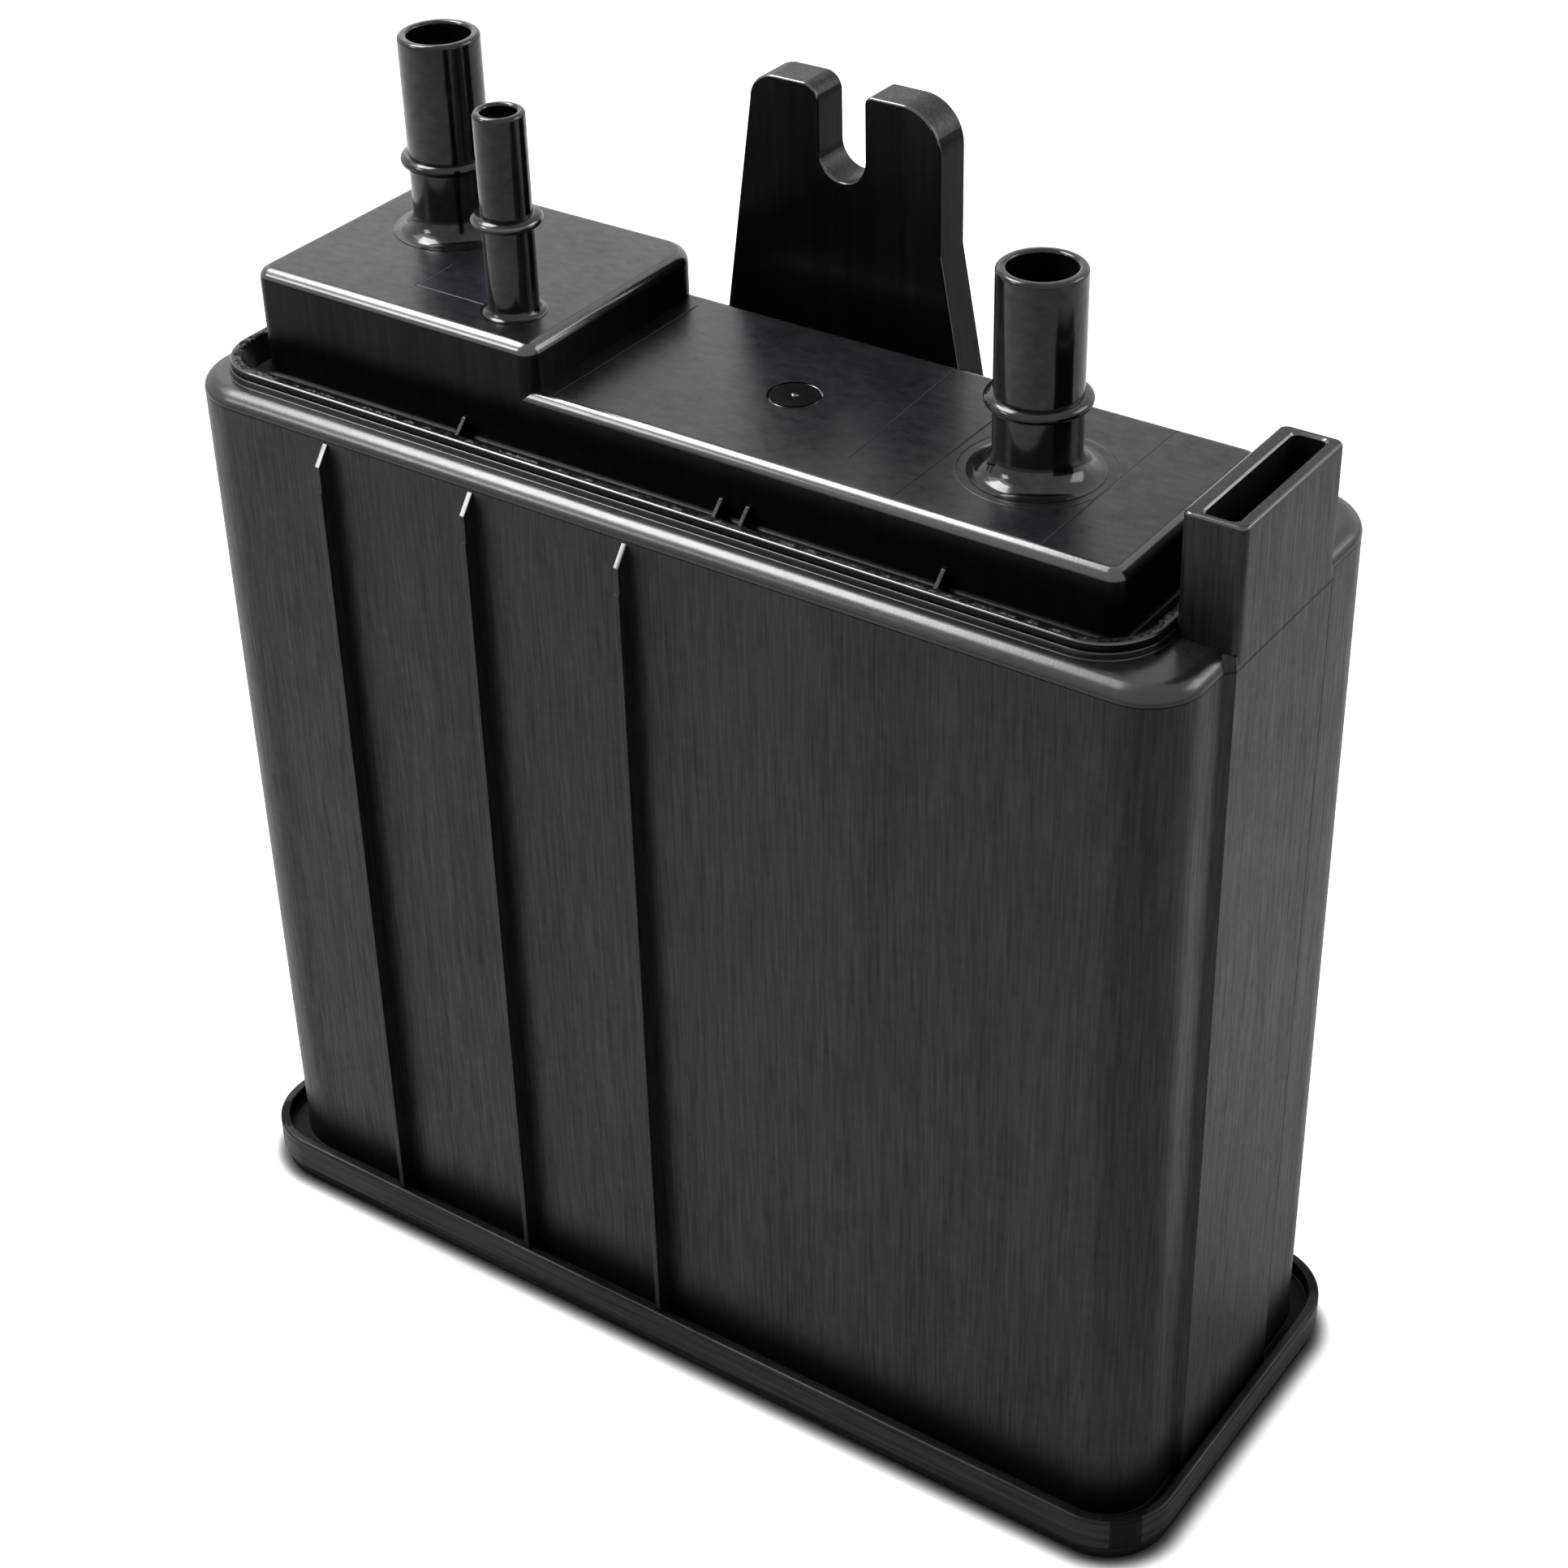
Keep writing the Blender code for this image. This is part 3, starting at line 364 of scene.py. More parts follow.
# %% Pad and bracket socket on the right-hand end
SOCKET_TOP = 222.4
PAD_X = HALF_LENGTH + 1.5
PAD_FRONT, PAD_REAR = -21.0, 15.0
PAD_FLANK = 2.2
SOCKET_INNER_X = PAD_X - 11.8
SOCKET_FLOOR = SOCKET_TOP - 70.0
SOCKET_FLOOR_WALL = 2.5
SOCKET_EDGE = 1.4
INNER_WALL, OUTER_WALL, END_WALL = 3.1, 2.6, 1.6
PARTING_INSET = 0.06


def side_pad():
    """Flat pad that leans with the wall; its front flank slopes, and closes above the parting line."""
    root, flank = HALF_LENGTH - WALL / 2, PAD_FRONT - PAD_FLANK - WALL / 2
    rings = []
    for outer, front, height in (
        (PAD_X + DRAFT, flank, GUTTER - INTO_FOOT), (PAD_X, flank, PARTING),
        (PAD_X - 0.3, PAD_FRONT, SHOULDER - 0.4),
    ):
        ring = [(root, front), (outer, PAD_FRONT), (outer, PAD_REAR), (root, PAD_REAR)]
        rings.append([(x * MM, y * MM, height * MM) for x, y in ring])
    return loft("pad", rings)


def socket_outline(inset):
    return rounded_outline(
        SOCKET_INNER_X + inset, PAD_X - PARTING_INSET - inset, PAD_FRONT + PARTING_INSET + inset,
        PAD_REAR - PARTING_INSET - inset, (SOCKET_EDGE,) * 4, 4)


def pocket_outline(inset):
    return rounded_outline(
        SOCKET_INNER_X + INNER_WALL + inset, PAD_X - OUTER_WALL - inset, PAD_FRONT + END_WALL + inset,
        PAD_REAR - END_WALL - inset, (SOCKET_EDGE,) * 4, 4)


def bracket_socket():
    socket = loft("socket", stack(socket_outline, [
        (0.0, SOCKET_FLOOR - SOCKET_FLOOR_WALL, 0), (0.0, SOCKET_TOP, 0.9), (1.1, SOCKET_TOP, 0)]))
    join(socket, side_pad())
    cut(socket, loft("pocket", stack(pocket_outline, [
        (0.0, SOCKET_FLOOR, 0), (0.0, SOCKET_TOP - 0.4, 0.2), (-0.4, SOCKET_TOP, 0), (-0.4, SOCKET_TOP + 2, 0)])))
    return socket


join(housing, bracket_socket())
print("socket joined:", len(housing.data.polygons), "faces")

# %% [markdown]
# The canister hangs by a tab with an open slot. The tab is a plate with a rim
# round its back, which saves plastic and keeps it stiff, and two buttresses carry
# its load down the rear wall.

# %% Hanging tab
TAB_FRONT = 36.1
TAB_THICKNESS = 8.5
TAB_TOP = 253.2
TAB_KNEE = 225.2
TAB_CENTRE = -3.2
TAB_HALF = 21.3
TAB_BOTTOM = SHOULDER - WALL * 0.6
TAB_RIM = 2.6
TAB_PLATE = 3.0
TAB_FLARE_LEFT, TAB_FLARE_RIGHT = 7.6, 5.2
TAB_ROUNDS = 8.5, 1.6, 3.4, 5.5
SLOT_CENTRE = TAB_CENTRE - 0.5
SLOT_HALF = 5.2
SLOT_BOTTOM = TAB_TOP - 18.0
BUTTRESS_WIDTH = 2.4
BUTTRESS_REACH = 3.6
BUTTRESS_TOP = TAB_BOTTOM + 0.87
GUSSET_TOP = TAB_BOTTOM + 1.3


def arc(centre_x, centre_z, radius, start, end, steps=12):
    points = []
    for step in range(steps + 1):
        angle = math.radians(start + (end - start) * step / steps)
        points.append((centre_x + radius * math.cos(angle), centre_z + radius * math.sin(angle)))
    return points


def tab_profile(inset):
    """Outline seen from the front: up the right side, down into the slot, and down the left side."""
    left, right = TAB_CENTRE - TAB_HALF + inset, TAB_CENTRE + TAB_HALF - inset
    top, bottom = TAB_TOP - inset, TAB_BOTTOM + inset
    half = SLOT_HALF + inset
    right_round, slot_right, slot_left, left_round = (max(size - inset, SMALLEST) for size in TAB_ROUNDS)
    points = [(left - TAB_FLARE_LEFT, bottom), (right + TAB_FLARE_RIGHT, bottom), (right, TAB_KNEE)]
    points += arc(right - right_round, top - right_round, right_round, 0, 90)
    points += arc(SLOT_CENTRE + half + slot_right, top - slot_right, slot_right, 90, 180, 6)
    points += arc(SLOT_CENTRE, SLOT_BOTTOM + SLOT_HALF, half, 0, -180, 20)
    points += arc(SLOT_CENTRE - half - slot_left, top - slot_left, slot_left, 0, 90, 8)
    points += arc(left + left_round, top - left_round, left_round, 90, 180)
    return points


def hanging_tab():
    """Plate with a hollow back, a web up its middle and a gusset that ties it to the rear wall."""
    across = (0, TAB_THICKNESS, 0)
    tab = prism("tab", [(x, TAB_FRONT, z) for x, z in tab_profile(0.0)], across, bevel=0.4, segments=3)
    cut(tab, prism("core", [(x, TAB_FRONT + TAB_PLATE, z) for x, z in tab_profile(TAB_RIM)], across))
    join(tab, block(
        "web", (TAB_CENTRE - BUTTRESS_WIDTH / 2, TAB_FRONT + TAB_PLATE / 2, GUSSET_TOP),
        (TAB_CENTRE + BUTTRESS_WIDTH / 2, TAB_FRONT + TAB_THICKNESS - 1.0, SLOT_BOTTOM - 1.3), bevel=0.2))
    root, edge = HALF_DEPTH - WALL / 2, TAB_FRONT + TAB_THICKNESS - 0.5
    gusset = [(root, GUSSET_TOP), (root, CEILING - TAB_THICKNESS), (edge, TAB_BOTTOM - 0.65), (edge, GUSSET_TOP)]
    left, right = TAB_CENTRE - TAB_HALF - 6.3, TAB_CENTRE + TAB_HALF + 3.9
    join(tab, prism("gusset", [(left, y, z) for y, z in gusset], (right - left, 0, 0), bevel=0.3))
    return tab


def buttress(x):
    root, reach, foot = HALF_DEPTH - WALL / 2, HALF_DEPTH + BUTTRESS_REACH, GUTTER - INTO_FOOT
    profile = [(root, foot), (reach + DRAFT, foot), (reach, BUTTRESS_TOP), (root, BUTTRESS_TOP)]
    points = [(x - BUTTRESS_WIDTH / 2, y, z) for y, z in profile]
    return prism("buttress", points, (BUTTRESS_WIDTH, 0, 0), bevel=0.25)


join(housing, hanging_tab(), buttress(TAB_CENTRE - TAB_HALF), buttress(TAB_CENTRE + TAB_HALF))
print("tab joined:", len(housing.data.polygons), "faces")

# %% [markdown]
# The wall between the two carbon chambers is part of the same moulding. It is
# hidden in use, and it is here because the frame has it too.

# %% Partition, and the end of the housing
PARTITION_X = -30.6
PARTITION_HALF = 1.1
PARTITION_BOTTOM, PARTITION_TOP = 22.1, SHOULDER - 3.9


def partition():
    left, right, depth = PARTITION_X - PARTITION_HALF, PARTITION_X + PARTITION_HALF, HALF_DEPTH - WALL / 2
    return block("partition", (left, -depth, PARTITION_BOTTOM), (right, depth, PARTITION_TOP))


join(housing, partition())
smooth(housing)
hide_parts("housing")
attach(housing, "root")
print("housing:", len(housing.data.polygons), "faces")

# %% [markdown]
# ## Top cover
# The cover is a tray whose rim is melted onto the collar. From the tray rise a
# long low plateau and a higher box, and on these stand the spigots. Each block is
# lofted with a foot that flares into the tray, because a moulding has no sharp
# inside corners there.

# %% Tray, plateau and high box
RIM_BOTTOM = COLLAR_TOP + SEAM
RIM_TOP = RIM_BOTTOM + 1.3
RIM_WALL = 2.0
TRAY_FLOOR = RIM_TOP - 4.4
COVER_WALL = 2.3
TRAY_UNDERSIDE = TRAY_FLOOR - COVER_WALL
PLATEAU_TOP = SHOULDER + 11.6
BOX_TOP = SHOULDER + 20.6
COVER_LEFT, COVER_RIGHT = -98.7, 92.2
COVER_FRONT = -26.2
BOX_RIGHT = COVER_LEFT + 68.1
COVER_ROUND = 2.4
SKIRT = COLLAR_WALL + SEAM


def cover_tray():
    return loft("canister_top_cover", stack(collar_outline, [
        (SKIRT, TRAY_UNDERSIDE, 0), (SKIRT, RIM_BOTTOM, 0), (SEAM, RIM_BOTTOM, 0.2), (SEAM, RIM_TOP, 0.5),
        (SEAM + RIM_WALL, RIM_TOP, 0.4), (SKIRT + COVER_WALL - 0.1, TRAY_FLOOR, 0.7),
        (SKIRT + COVER_WALL + 1.0, TRAY_FLOOR, 0),
    ]))


def rising_block(name, left, right, rear, radii, bottom, top, inset=0.0, foot=1.0):
    """Upright block on the tray, with a flared foot and a rounded top edge."""
    rounding = max(COVER_ROUND - inset, 0.6)

    def outline_of(shrink):
        radius = tuple(max(size - inset - shrink, 0.3) for size in radii)
        front = COVER_FRONT + inset + shrink
        return rounded_outline(left + shrink, right - shrink, front, rear - inset - shrink, radius)

    profile = [(0.0, bottom, 0)]
    if foot:
        profile = [(-foot, bottom, 0), (-foot, TRAY_FLOOR + 0.02, 0)]
        for step in range(1, 5):
            angle = math.radians(90 * step / 4)
            profile.append((-foot * (1 - math.sin(angle)), TRAY_FLOOR + foot * (1 - math.cos(angle)), 0))
    for step in range(9):
        angle = math.radians(90 * step / 8)
        profile.append((rounding * (1 - math.cos(angle)), top - rounding * (1 - math.sin(angle)), 0))
    return loft(name, stack(outline_of, profile))


PLATEAU_LEFT = -64.6
PLATEAU = dict(rear=25.5, radii=(3.2,) * 4)
HIGH_BOX = dict(rear=27.7, radii=(3.2, 3.2, 7.5, 7.5))
cover = cover_tray()
join(
    cover,
    rising_block("plateau", PLATEAU_LEFT, COVER_RIGHT, bottom=TRAY_FLOOR - 1, top=PLATEAU_TOP, **PLATEAU),
    rising_block("high_box", COVER_LEFT, BOX_RIGHT, bottom=TRAY_FLOOR - 1, top=BOX_TOP, **HIGH_BOX),
)
UNDER = TRAY_UNDERSIDE - 2
cut(
    cover,
    rising_block(
        "plateau_hollow", PARTITION_X + PARTITION_HALF, COVER_RIGHT - COVER_WALL, bottom=UNDER,
        top=PLATEAU_TOP - COVER_WALL, inset=COVER_WALL, foot=0, **PLATEAU),
    rising_block(
        "box_hollow", COVER_LEFT + COVER_WALL, PARTITION_X - PARTITION_HALF, bottom=UNDER,
        top=BOX_TOP - COVER_WALL, inset=COVER_WALL, foot=0, **HIGH_BOX),
)
print("tray, plateau and high box:", len(cover.data.polygons), "faces")

# %% [markdown]
# A hose spigot is a turned shape: a flared foot, a tube, a bead that holds the
# hose and a rounded tip. It is revolved from a profile, then bored through into
# the cover.

# %% Hose spigots
BEAD_THICKNESS = 2.4
TIP_ROUND = 0.8
FOOT_STEP = 0.12
BORE_CHAMFER = 0.6
SPIGOTS = {
    "tank": dict(
        x=-77.6, y=9.6, surface=BOX_TOP, radius=7.95, bore=6.1, height=39.3, bead=14.6, reach=9.5, foot=4.2),
    "purge": dict(
        x=-43.4, y=-14.5, surface=BOX_TOP, radius=4.85, bore=3.3, height=39.0, bead=18.4, reach=6.7, foot=1.5),
    "vent": dict(
        x=61.9, y=-1.9, surface=PLATEAU_TOP, radius=7.95, bore=6.1, height=38.3, bead=14.0, reach=9.6, foot=4.4),
}


def spigot_profile(surface, radius, height, bead, reach, foot):
    """(radius, height) from the flared foot, over the hose bead, to the rounded tip."""
    start = surface + FOOT_STEP
    profile = [(radius + foot, surface - COVER_WALL / 2), (radius + foot, start)]
    for step in range(1, 11):
        angle = math.radians(90 * step / 10)
        profile.append((radius + foot * (1 - math.sin(angle)), start + foot * (1 - math.cos(angle))))
    for step in range(13):
        angle = math.radians(-90 + 180 * step / 12)
        profile.append((
            radius + (reach - radius) * math.cos(angle) + 0.0005,
            surface + bead + BEAD_THICKNESS / 2 * math.sin(angle),
        ))
    tip = surface + height
    for step in range(7):
        angle = math.radians(90 * step / 6)
        profile.append((radius - TIP_ROUND * (1 - math.cos(angle)), tip - TIP_ROUND * (1 - math.sin(angle))))
    return profile


def bore_profile(surface, bore, height):
    tip = surface + height
    profile = [(bore, surface - COVER_WALL * 2)]
    for step in range(5):
        angle = math.radians(90 * step / 4)
        profile.append((
            bore + BORE_CHAMFER * (1 - math.cos(angle)),
            tip - BORE_CHAMFER + BORE_CHAMFER * math.sin(angle) - 0.001,
        ))
    profile.append((bore + BORE_CHAMFER, tip + 1.0))
    return profile


def add_spigot(place):
    x, y, surface = place["x"], place["y"], place["surface"]
    join(cover, turned("spigot", spigot_profile(
        surface, place["radius"], place["height"], place["bead"], place["reach"], place["foot"]), x, y))
    cut(cover, turned("bore", bore_profile(surface, place["bore"], place["height"]), x, y))


for place in SPIGOTS.values():
    add_spigot(place)
print("three spigots:", len(cover.data.polygons), "faces")

# %% [markdown]
# Small marks of moulding: thin fins that stiffen the tray, and the round date
# insert on the plateau, a sunk ring with a dot in the middle.

# %% Fins
FIN_X = (-47.3, 11.8, 17.6, 58.4)
FIN_THICKNESS = 0.9
FIN_CORNER = 0.16
FIN_LEVELS = ((-29.6, -1.0, 0.0), (-29.6, 1.2, 0.0), (-26.83, 3.87, 0.0), (-26.70, 4.03, 0.15))


def tray_fin(x):
    """Thin blade that leans on the front wall; a level is (front, height over the tray, inset)."""
    half, rear = FIN_THICKNESS / 2, COVER_FRONT + COVER_WALL / 2
    rings = []
    for front, rise, inset in FIN_LEVELS:
        outline = rounded_outline(
            x - half + inset, x + half - inset, front, rear - inset, (FIN_CORNER,) * 4, 2)
        rings.append([(px * MM, py * MM, (TRAY_FLOOR + rise) * MM) for px, py in outline])
    return loft("fin", rings)


join(cover, *[tray_fin(x) for x in FIN_X])
print("four fins joined:", len(cover.data.polygons), "faces")

# %% Date insert
DATE_X, DATE_Y = 10.2, -0.8
DATE_RADIUS = 5.2
GROOVE = ((0.0, 0.3), (0.0, -0.3), (0.28, -0.45), (0.55, -0.3), (0.55, 0.3))
DOT = ((0.75, -0.5), (0.75, 0.0), (0.62, 0.16), (0.3, 0.26))


def date_groove():
    """Round cutter; its section is (inset from the radius, height over the plateau)."""
    rings = [circle(DATE_X, DATE_Y, DATE_RADIUS - inset, PLATEAU_TOP + rise, 64) for inset, rise in GROOVE]
    return loft("groove", rings, ring_closed=True)


cut(cover, date_groove())
join(cover, turned("dot", [(radius, PLATEAU_TOP + rise) for radius, rise in DOT], DATE_X, DATE_Y, 24))
smooth(cover)
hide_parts("top_cover")
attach(cover, "root")
print("cover:", len(cover.data.polygons), "faces")

# %% [markdown]
# ## Base and weld beads
# The base plate is a plain moulding, a little smaller than the foot of the
# housing. Between each pair of welded parts the melted plastic has squeezed out
# into a thin, uneven bead, which is a piece of its own here. On the rim of the
# cover it stands up as a rough flash.

# %% Base plate
BASE_INSET = 0.9
BASE_RIM_TOP = BASE_TOP + 4.0
BASE_RIM_WALL = 1.8
POCKET_DEPTH = 1.3


def base_plate():
    """Plate with a rim that stands up inside the housing and finds its place."""
    outer = DRAFT - WALL - SEAM
    inner = outer - BASE_RIM_WALL
    rings = stack(flange_outline, [
        (BASE_INSET + 1.4, 0.0, 0), (BASE_INSET, 0.0, 0.5), (BASE_INSET, BASE_TOP, 0.25),
        (BASE_INSET + 1.0, BASE_TOP, 0),
    ])
    rings += stack(body_outline, [
        (outer, BASE_TOP, 0), (outer, BASE_RIM_TOP, 0), (inner, BASE_RIM_TOP, 0), (inner, BASE_TOP, 0),
    ])
    return loft("canister_base", rings)


def base_pockets(columns=6, rows=2, margin=9.0, gap=1.8):
    """Shallow pockets in the underside, with ribs as wide as the gap between them."""
    width, depth = 2 * (HALF_LENGTH - margin) / columns, 2 * (HALF_DEPTH - margin) / rows
    for column in range(columns):
        for row in range(rows):
            x, y = -HALF_LENGTH + margin + column * width, -HALF_DEPTH + margin + row * depth
            low = (x + gap / 2, y + gap / 2, -2.0)
            high = (x + width - gap / 2, y + depth - gap / 2, POCKET_DEPTH)
            yield block("pocket", low, high, bevel=0.3)


base = base_plate()
cut(base, *base_pockets())
smooth(base)
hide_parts("bottom_cover")
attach(base, "root")
print("base:", len(base.data.polygons), "faces")


# %% Weld beads
def walked(outline, parts):
    """The same outline with each stretch split into parts, for details that change on the way."""
    points = []
    for (x0, y0), (x1, y1), count in zip(outline, outline[1:] + outline[:1], parts):
        points += [(x0 + (x1 - x0) * part / count, y0 + (y1 - y0) * part / count) for part in range(count)]
    return points


def weld_bead(name, outline_of, profile, wobble, pitch=1.2, fineness=0.5):
    """Closed band along a seam; profile is (inset, height) in mm, and noise makes it uneven."""
    path = outline_of(profile[0][0])
    parts = [max(1, round(math.dist(a, b) / pitch)) for a, b in zip(path, path[1:] + path[:1])]
    rings = []
    for offset, level in profile:
        ring = []
        for x, y in walked(outline_of(offset), parts):
            lift = noise.noise(Vector((x, y, (offset + level) * 3)) * fineness) * wobble
            ring.append((x * MM, y * MM, (level + lift) * MM))
        rings.append(ring)
    made = smooth(loft(name, rings, ring_closed=True), 60)
    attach(made, "root")
    return made


def seam_profile(inset, depth, middle, half=0.12, nose=0.15):
    """Section of a bead that fills a seam and comes to a blunt nose at its inset."""
    return [
        (inset + depth, middle - half), (inset + nose, middle - half), (inset, middle),
        (inset + nose, middle + half), (inset + depth, middle + half),
    ]


BEAD_WOBBLE = 0.03
FLASH_WOBBLE = 0.40
FLASH = ((0.95, -0.5), (1.05, 0.02), (1.65, 0.12), (2.3, -0.02), (2.7, -0.9))
top_bead = weld_bead(
    "weld_bead_top", collar_outline, seam_profile(0.45, 1.2, COLLAR_TOP + SEAM / 2), BEAD_WOBBLE)
foot_bead = weld_bead(
    "weld_bead_foot", flange_outline, seam_profile(1.15, 1.6, BASE_TOP + SEAM / 2), BEAD_WOBBLE)
rim_flash = weld_bead(
    "weld_flash_on_rim", collar_outline, [(inset, RIM_TOP + rise) for inset, rise in FLASH],
    FLASH_WOBBLE, pitch=0.6, fineness=1.9)
print("two weld beads, and the flash on the rim:", len(rim_flash.data.polygons), "faces")

# %% [markdown]
# ## Materials
# All of the outside is black nylon. What tells the surfaces apart is mostly how the
# mould was finished: drawn walls with fine upright drag marks, a softly grained
# cover, polished spigots; upright and sunk faces get a darker copy as painted shade.
# Each effect is a node group that puts out a mask or a height, so that several
# materials can share it with their own values.

# %% Node helpers
def add(tree, kind, **values):
    """New node; a value goes to the property of that name, or else to the input socket."""
    node = tree.nodes.new(kind)
    for key, value in values.items():
        if hasattr(node, key):
            setattr(node, key, value)
        else:
            node.inputs[key.replace("_", " ")].default_value = value
    return node


def math_node(tree, operation, first, second=0.0, third=0.0):
    node = tree.nodes.new("ShaderNodeMath")
    node.operation = operation
    for socket, value in zip(node.inputs, (first, second, third)):
        if isinstance(value, (int, float)):
            socket.default_value = value
        else:
            tree.links.new(value, socket)
    return node.outputs[0]


def vector_node(tree, operation, first, second=(0.0, 0.0, 0.0)):
    node = tree.nodes.new("ShaderNodeVectorMath")
    node.operation = operation
    for socket, value in zip(node.inputs, (first, second)):
        if isinstance(value, tuple):
            socket.default_value = value
        else:
            tree.links.new(value, socket)
    return node.outputs["Value"] if operation in ("DOT_PRODUCT", "LENGTH", "DISTANCE") else node.outputs[0]


def new_group(name, inputs, outputs):
    """Shader node group with named float or vector inputs and float outputs."""
    group = bpy.data.node_groups.new(name, "ShaderNodeTree")
    for label, kind, value in inputs:
        socket = group.interface.new_socket(name=label, in_out="INPUT", socket_type=kind)
        socket.default_value = value
    for label in outputs:
        group.interface.new_socket(name=label, in_out="OUTPUT", socket_type="NodeSocketFloat")
    entry = group.nodes.new("NodeGroupInput")
    leave = group.nodes.new("NodeGroupOutput")
    return group, entry, leave


# %% Helpers that measure a place on the piece
def object_place(tree):
    """Where a point lies, in metres; every piece sits at the origin, so they all share it."""
    return add(tree, "ShaderNodeTexCoord").outputs["Object"]


def object_height(tree):
    return vector_node(tree, "DOT_PRODUCT", object_place(tree), (0.0, 0.0, 1.0))


def stretched_noise(tree, scale, stretch, detail=3.0, roughness=0.55):
    """Noise in object space; scale and stretch are values, or sockets to read them from."""
    mapped = vector_node(tree, "MULTIPLY", object_place(tree), stretch)
    texture = add(tree, "ShaderNodeTexNoise", Detail=detail, Roughness=roughness)
    tree.links.new(mapped, texture.inputs["Vector"])
    if isinstance(scale, float):
        texture.inputs["Scale"].default_value = scale
    else:
        tree.links.new(scale, texture.inputs["Scale"])
    return texture.outputs["Fac"]


def widened(tree, value, low, high):
    """The part of a value between low and high, spread over 0 to 1."""
    node = add(tree, "ShaderNodeMapRange", From_Min=low, From_Max=high)
    tree.links.new(value, node.inputs["Value"])
    return node.outputs["Result"]


# %% [markdown]
# Drag marks and grain are both noise, laid out in the piece's own space, so that
# they need no unwrapping. The marks run the way the mould opened, so their noise is
# stretched upwards. The grain has a fine part for the bump, and clouds where the
# steel was worked a little more or less.

# %% Effect: drag marks, the upright lines that a mould leaves as it opens
FLOAT, VECTOR = "NodeSocketFloat", "NodeSocketVector"


def make_drag_marks():
    inputs = [("Scale", FLOAT, 1400.0), ("Stretch", VECTOR, (1.0, 1.0, 0.045))]
    group, entry, leave = new_group("drag_marks", inputs, ["Height", "Mask"])
    fine = stretched_noise(group, entry.outputs["Scale"], entry.outputs["Stretch"], 4.0, 0.65)
    broad = stretched_noise(group, 160.0, entry.outputs["Stretch"], 2.0, 0.5)
    both = math_node(group, "MULTIPLY_ADD", broad, 0.22, math_node(group, "MULTIPLY", fine, 0.78))
    group.links.new(fine, leave.inputs["Height"])
    group.links.new(widened(group, both, 0.30, 0.70), leave.inputs["Mask"])
    return group


DRAG_MARKS = make_drag_marks()
print("drag marks:", len(DRAG_MARKS.nodes), "nodes")


# %% Effect: mould grain, the fine even texture of a spark-eroded steel face
def make_grain():
    group, entry, leave = new_group("mould_grain", [("Scale", FLOAT, 4000.0)], ["Height", "Clouds"])
    height = stretched_noise(group, entry.outputs["Scale"], (1.0, 1.0, 1.0), 2.0, 0.5)
    group.links.new(height, leave.inputs["Height"])
    broad = stretched_noise(group, 70.0, (1.0, 1.0, 1.0), 4.0, 0.6)
    fine = stretched_noise(group, 520.0, (0.6, 1.0, 1.0), 4.0, 0.65)
    both = math_node(group, "MULTIPLY_ADD", broad, 0.4, math_node(group, "MULTIPLY", fine, 0.6))
    group.links.new(widened(group, both, 0.26, 0.74), leave.inputs["Clouds"])
    return group


GRAIN = make_grain()
print("mould grain:", len(GRAIN.nodes), "nodes")

# %% [markdown]
# Where two steel blocks of a mould met, the plastic shows a hairline. It could be
# cut into the mesh, but a line a fifth of a millimetre wide is cleaner as a mask,
# made from the distance to the line: 1 on it, and 0 from its width on.


# %% Effect: witness line, the hairline left where two mould inserts met
def put_out_hairline(group, distance, entry, leave):
    """Mask that is 1 on the line and falls to 0 at its width."""
    share = math_node(group, "DIVIDE", distance, entry.outputs["Width"])
    fade = math_node(group, "MAXIMUM", math_node(group, "SUBTRACT", 1.0, share), 0.0)
    group.links.new(fade, leave.inputs["Mask"])


def make_witness_line():
    inputs = [("Start", VECTOR, (0, 0, 0)), ("End", VECTOR, (0, 0, 0)), ("Width", FLOAT, 0.0002)]
    group, entry, leave = new_group("witness_line", inputs, ["Mask"])
    start, end = entry.outputs["Start"], entry.outputs["End"]
    offset = vector_node(group, "SUBTRACT", object_place(group), start)
    span = vector_node(group, "SUBTRACT", end, start)
    reached = vector_node(group, "DOT_PRODUCT", offset, span)
    along = math_node(group, "DIVIDE", reached, vector_node(group, "DOT_PRODUCT", span, span))
    clamped = math_node(group, "MINIMUM", math_node(group, "MAXIMUM", along, 0.0), 1.0)
    scaled = group.nodes.new("ShaderNodeVectorMath")
    scaled.operation = "SCALE"
    group.links.new(span, scaled.inputs[0])
    group.links.new(clamped, scaled.inputs["Scale"])
    distance = vector_node(group, "LENGTH", vector_node(group, "SUBTRACT", offset, scaled.outputs[0]))
    put_out_hairline(group, distance, entry, leave)
    return group


WITNESS_LINE = make_witness_line()
print("witness line:", len(WITNESS_LINE.nodes), "nodes")


# %% Effect: parting line, where the two halves of the mould met all round
def make_parting_line():
    inputs = [("Level", FLOAT, 0.2), ("Width", FLOAT, 0.0002)]
    group, entry, leave = new_group("parting_line", inputs, ["Mask"])
    beyond = math_node(group, "SUBTRACT", object_height(group), entry.outputs["Level"])
    put_out_hairline(group, math_node(group, "ABSOLUTE", beyond), entry, leave)
    return group


PARTING_LINE = make_parting_line()
print("parting line:", len(PARTING_LINE.nodes), "nodes")


# %% Effect: witness ring, the same hairline round a turned insert
def make_witness_ring():
    inputs = [("Centre", VECTOR, (0, 0, 0)), ("Radius", FLOAT, 0.01), ("Width", FLOAT, 0.0002)]
    group, entry, leave = new_group("witness_ring", inputs, ["Mask"])
    from_centre = vector_node(group, "DISTANCE", object_place(group), entry.outputs["Centre"])
    beyond = math_node(group, "SUBTRACT", from_centre, entry.outputs["Radius"])
    put_out_hairline(group, math_node(group, "ABSOLUTE", beyond), entry, leave)
    return group


WITNESS_RING = make_witness_ring()
print("witness ring:", len(WITNESS_RING.nodes), "nodes")

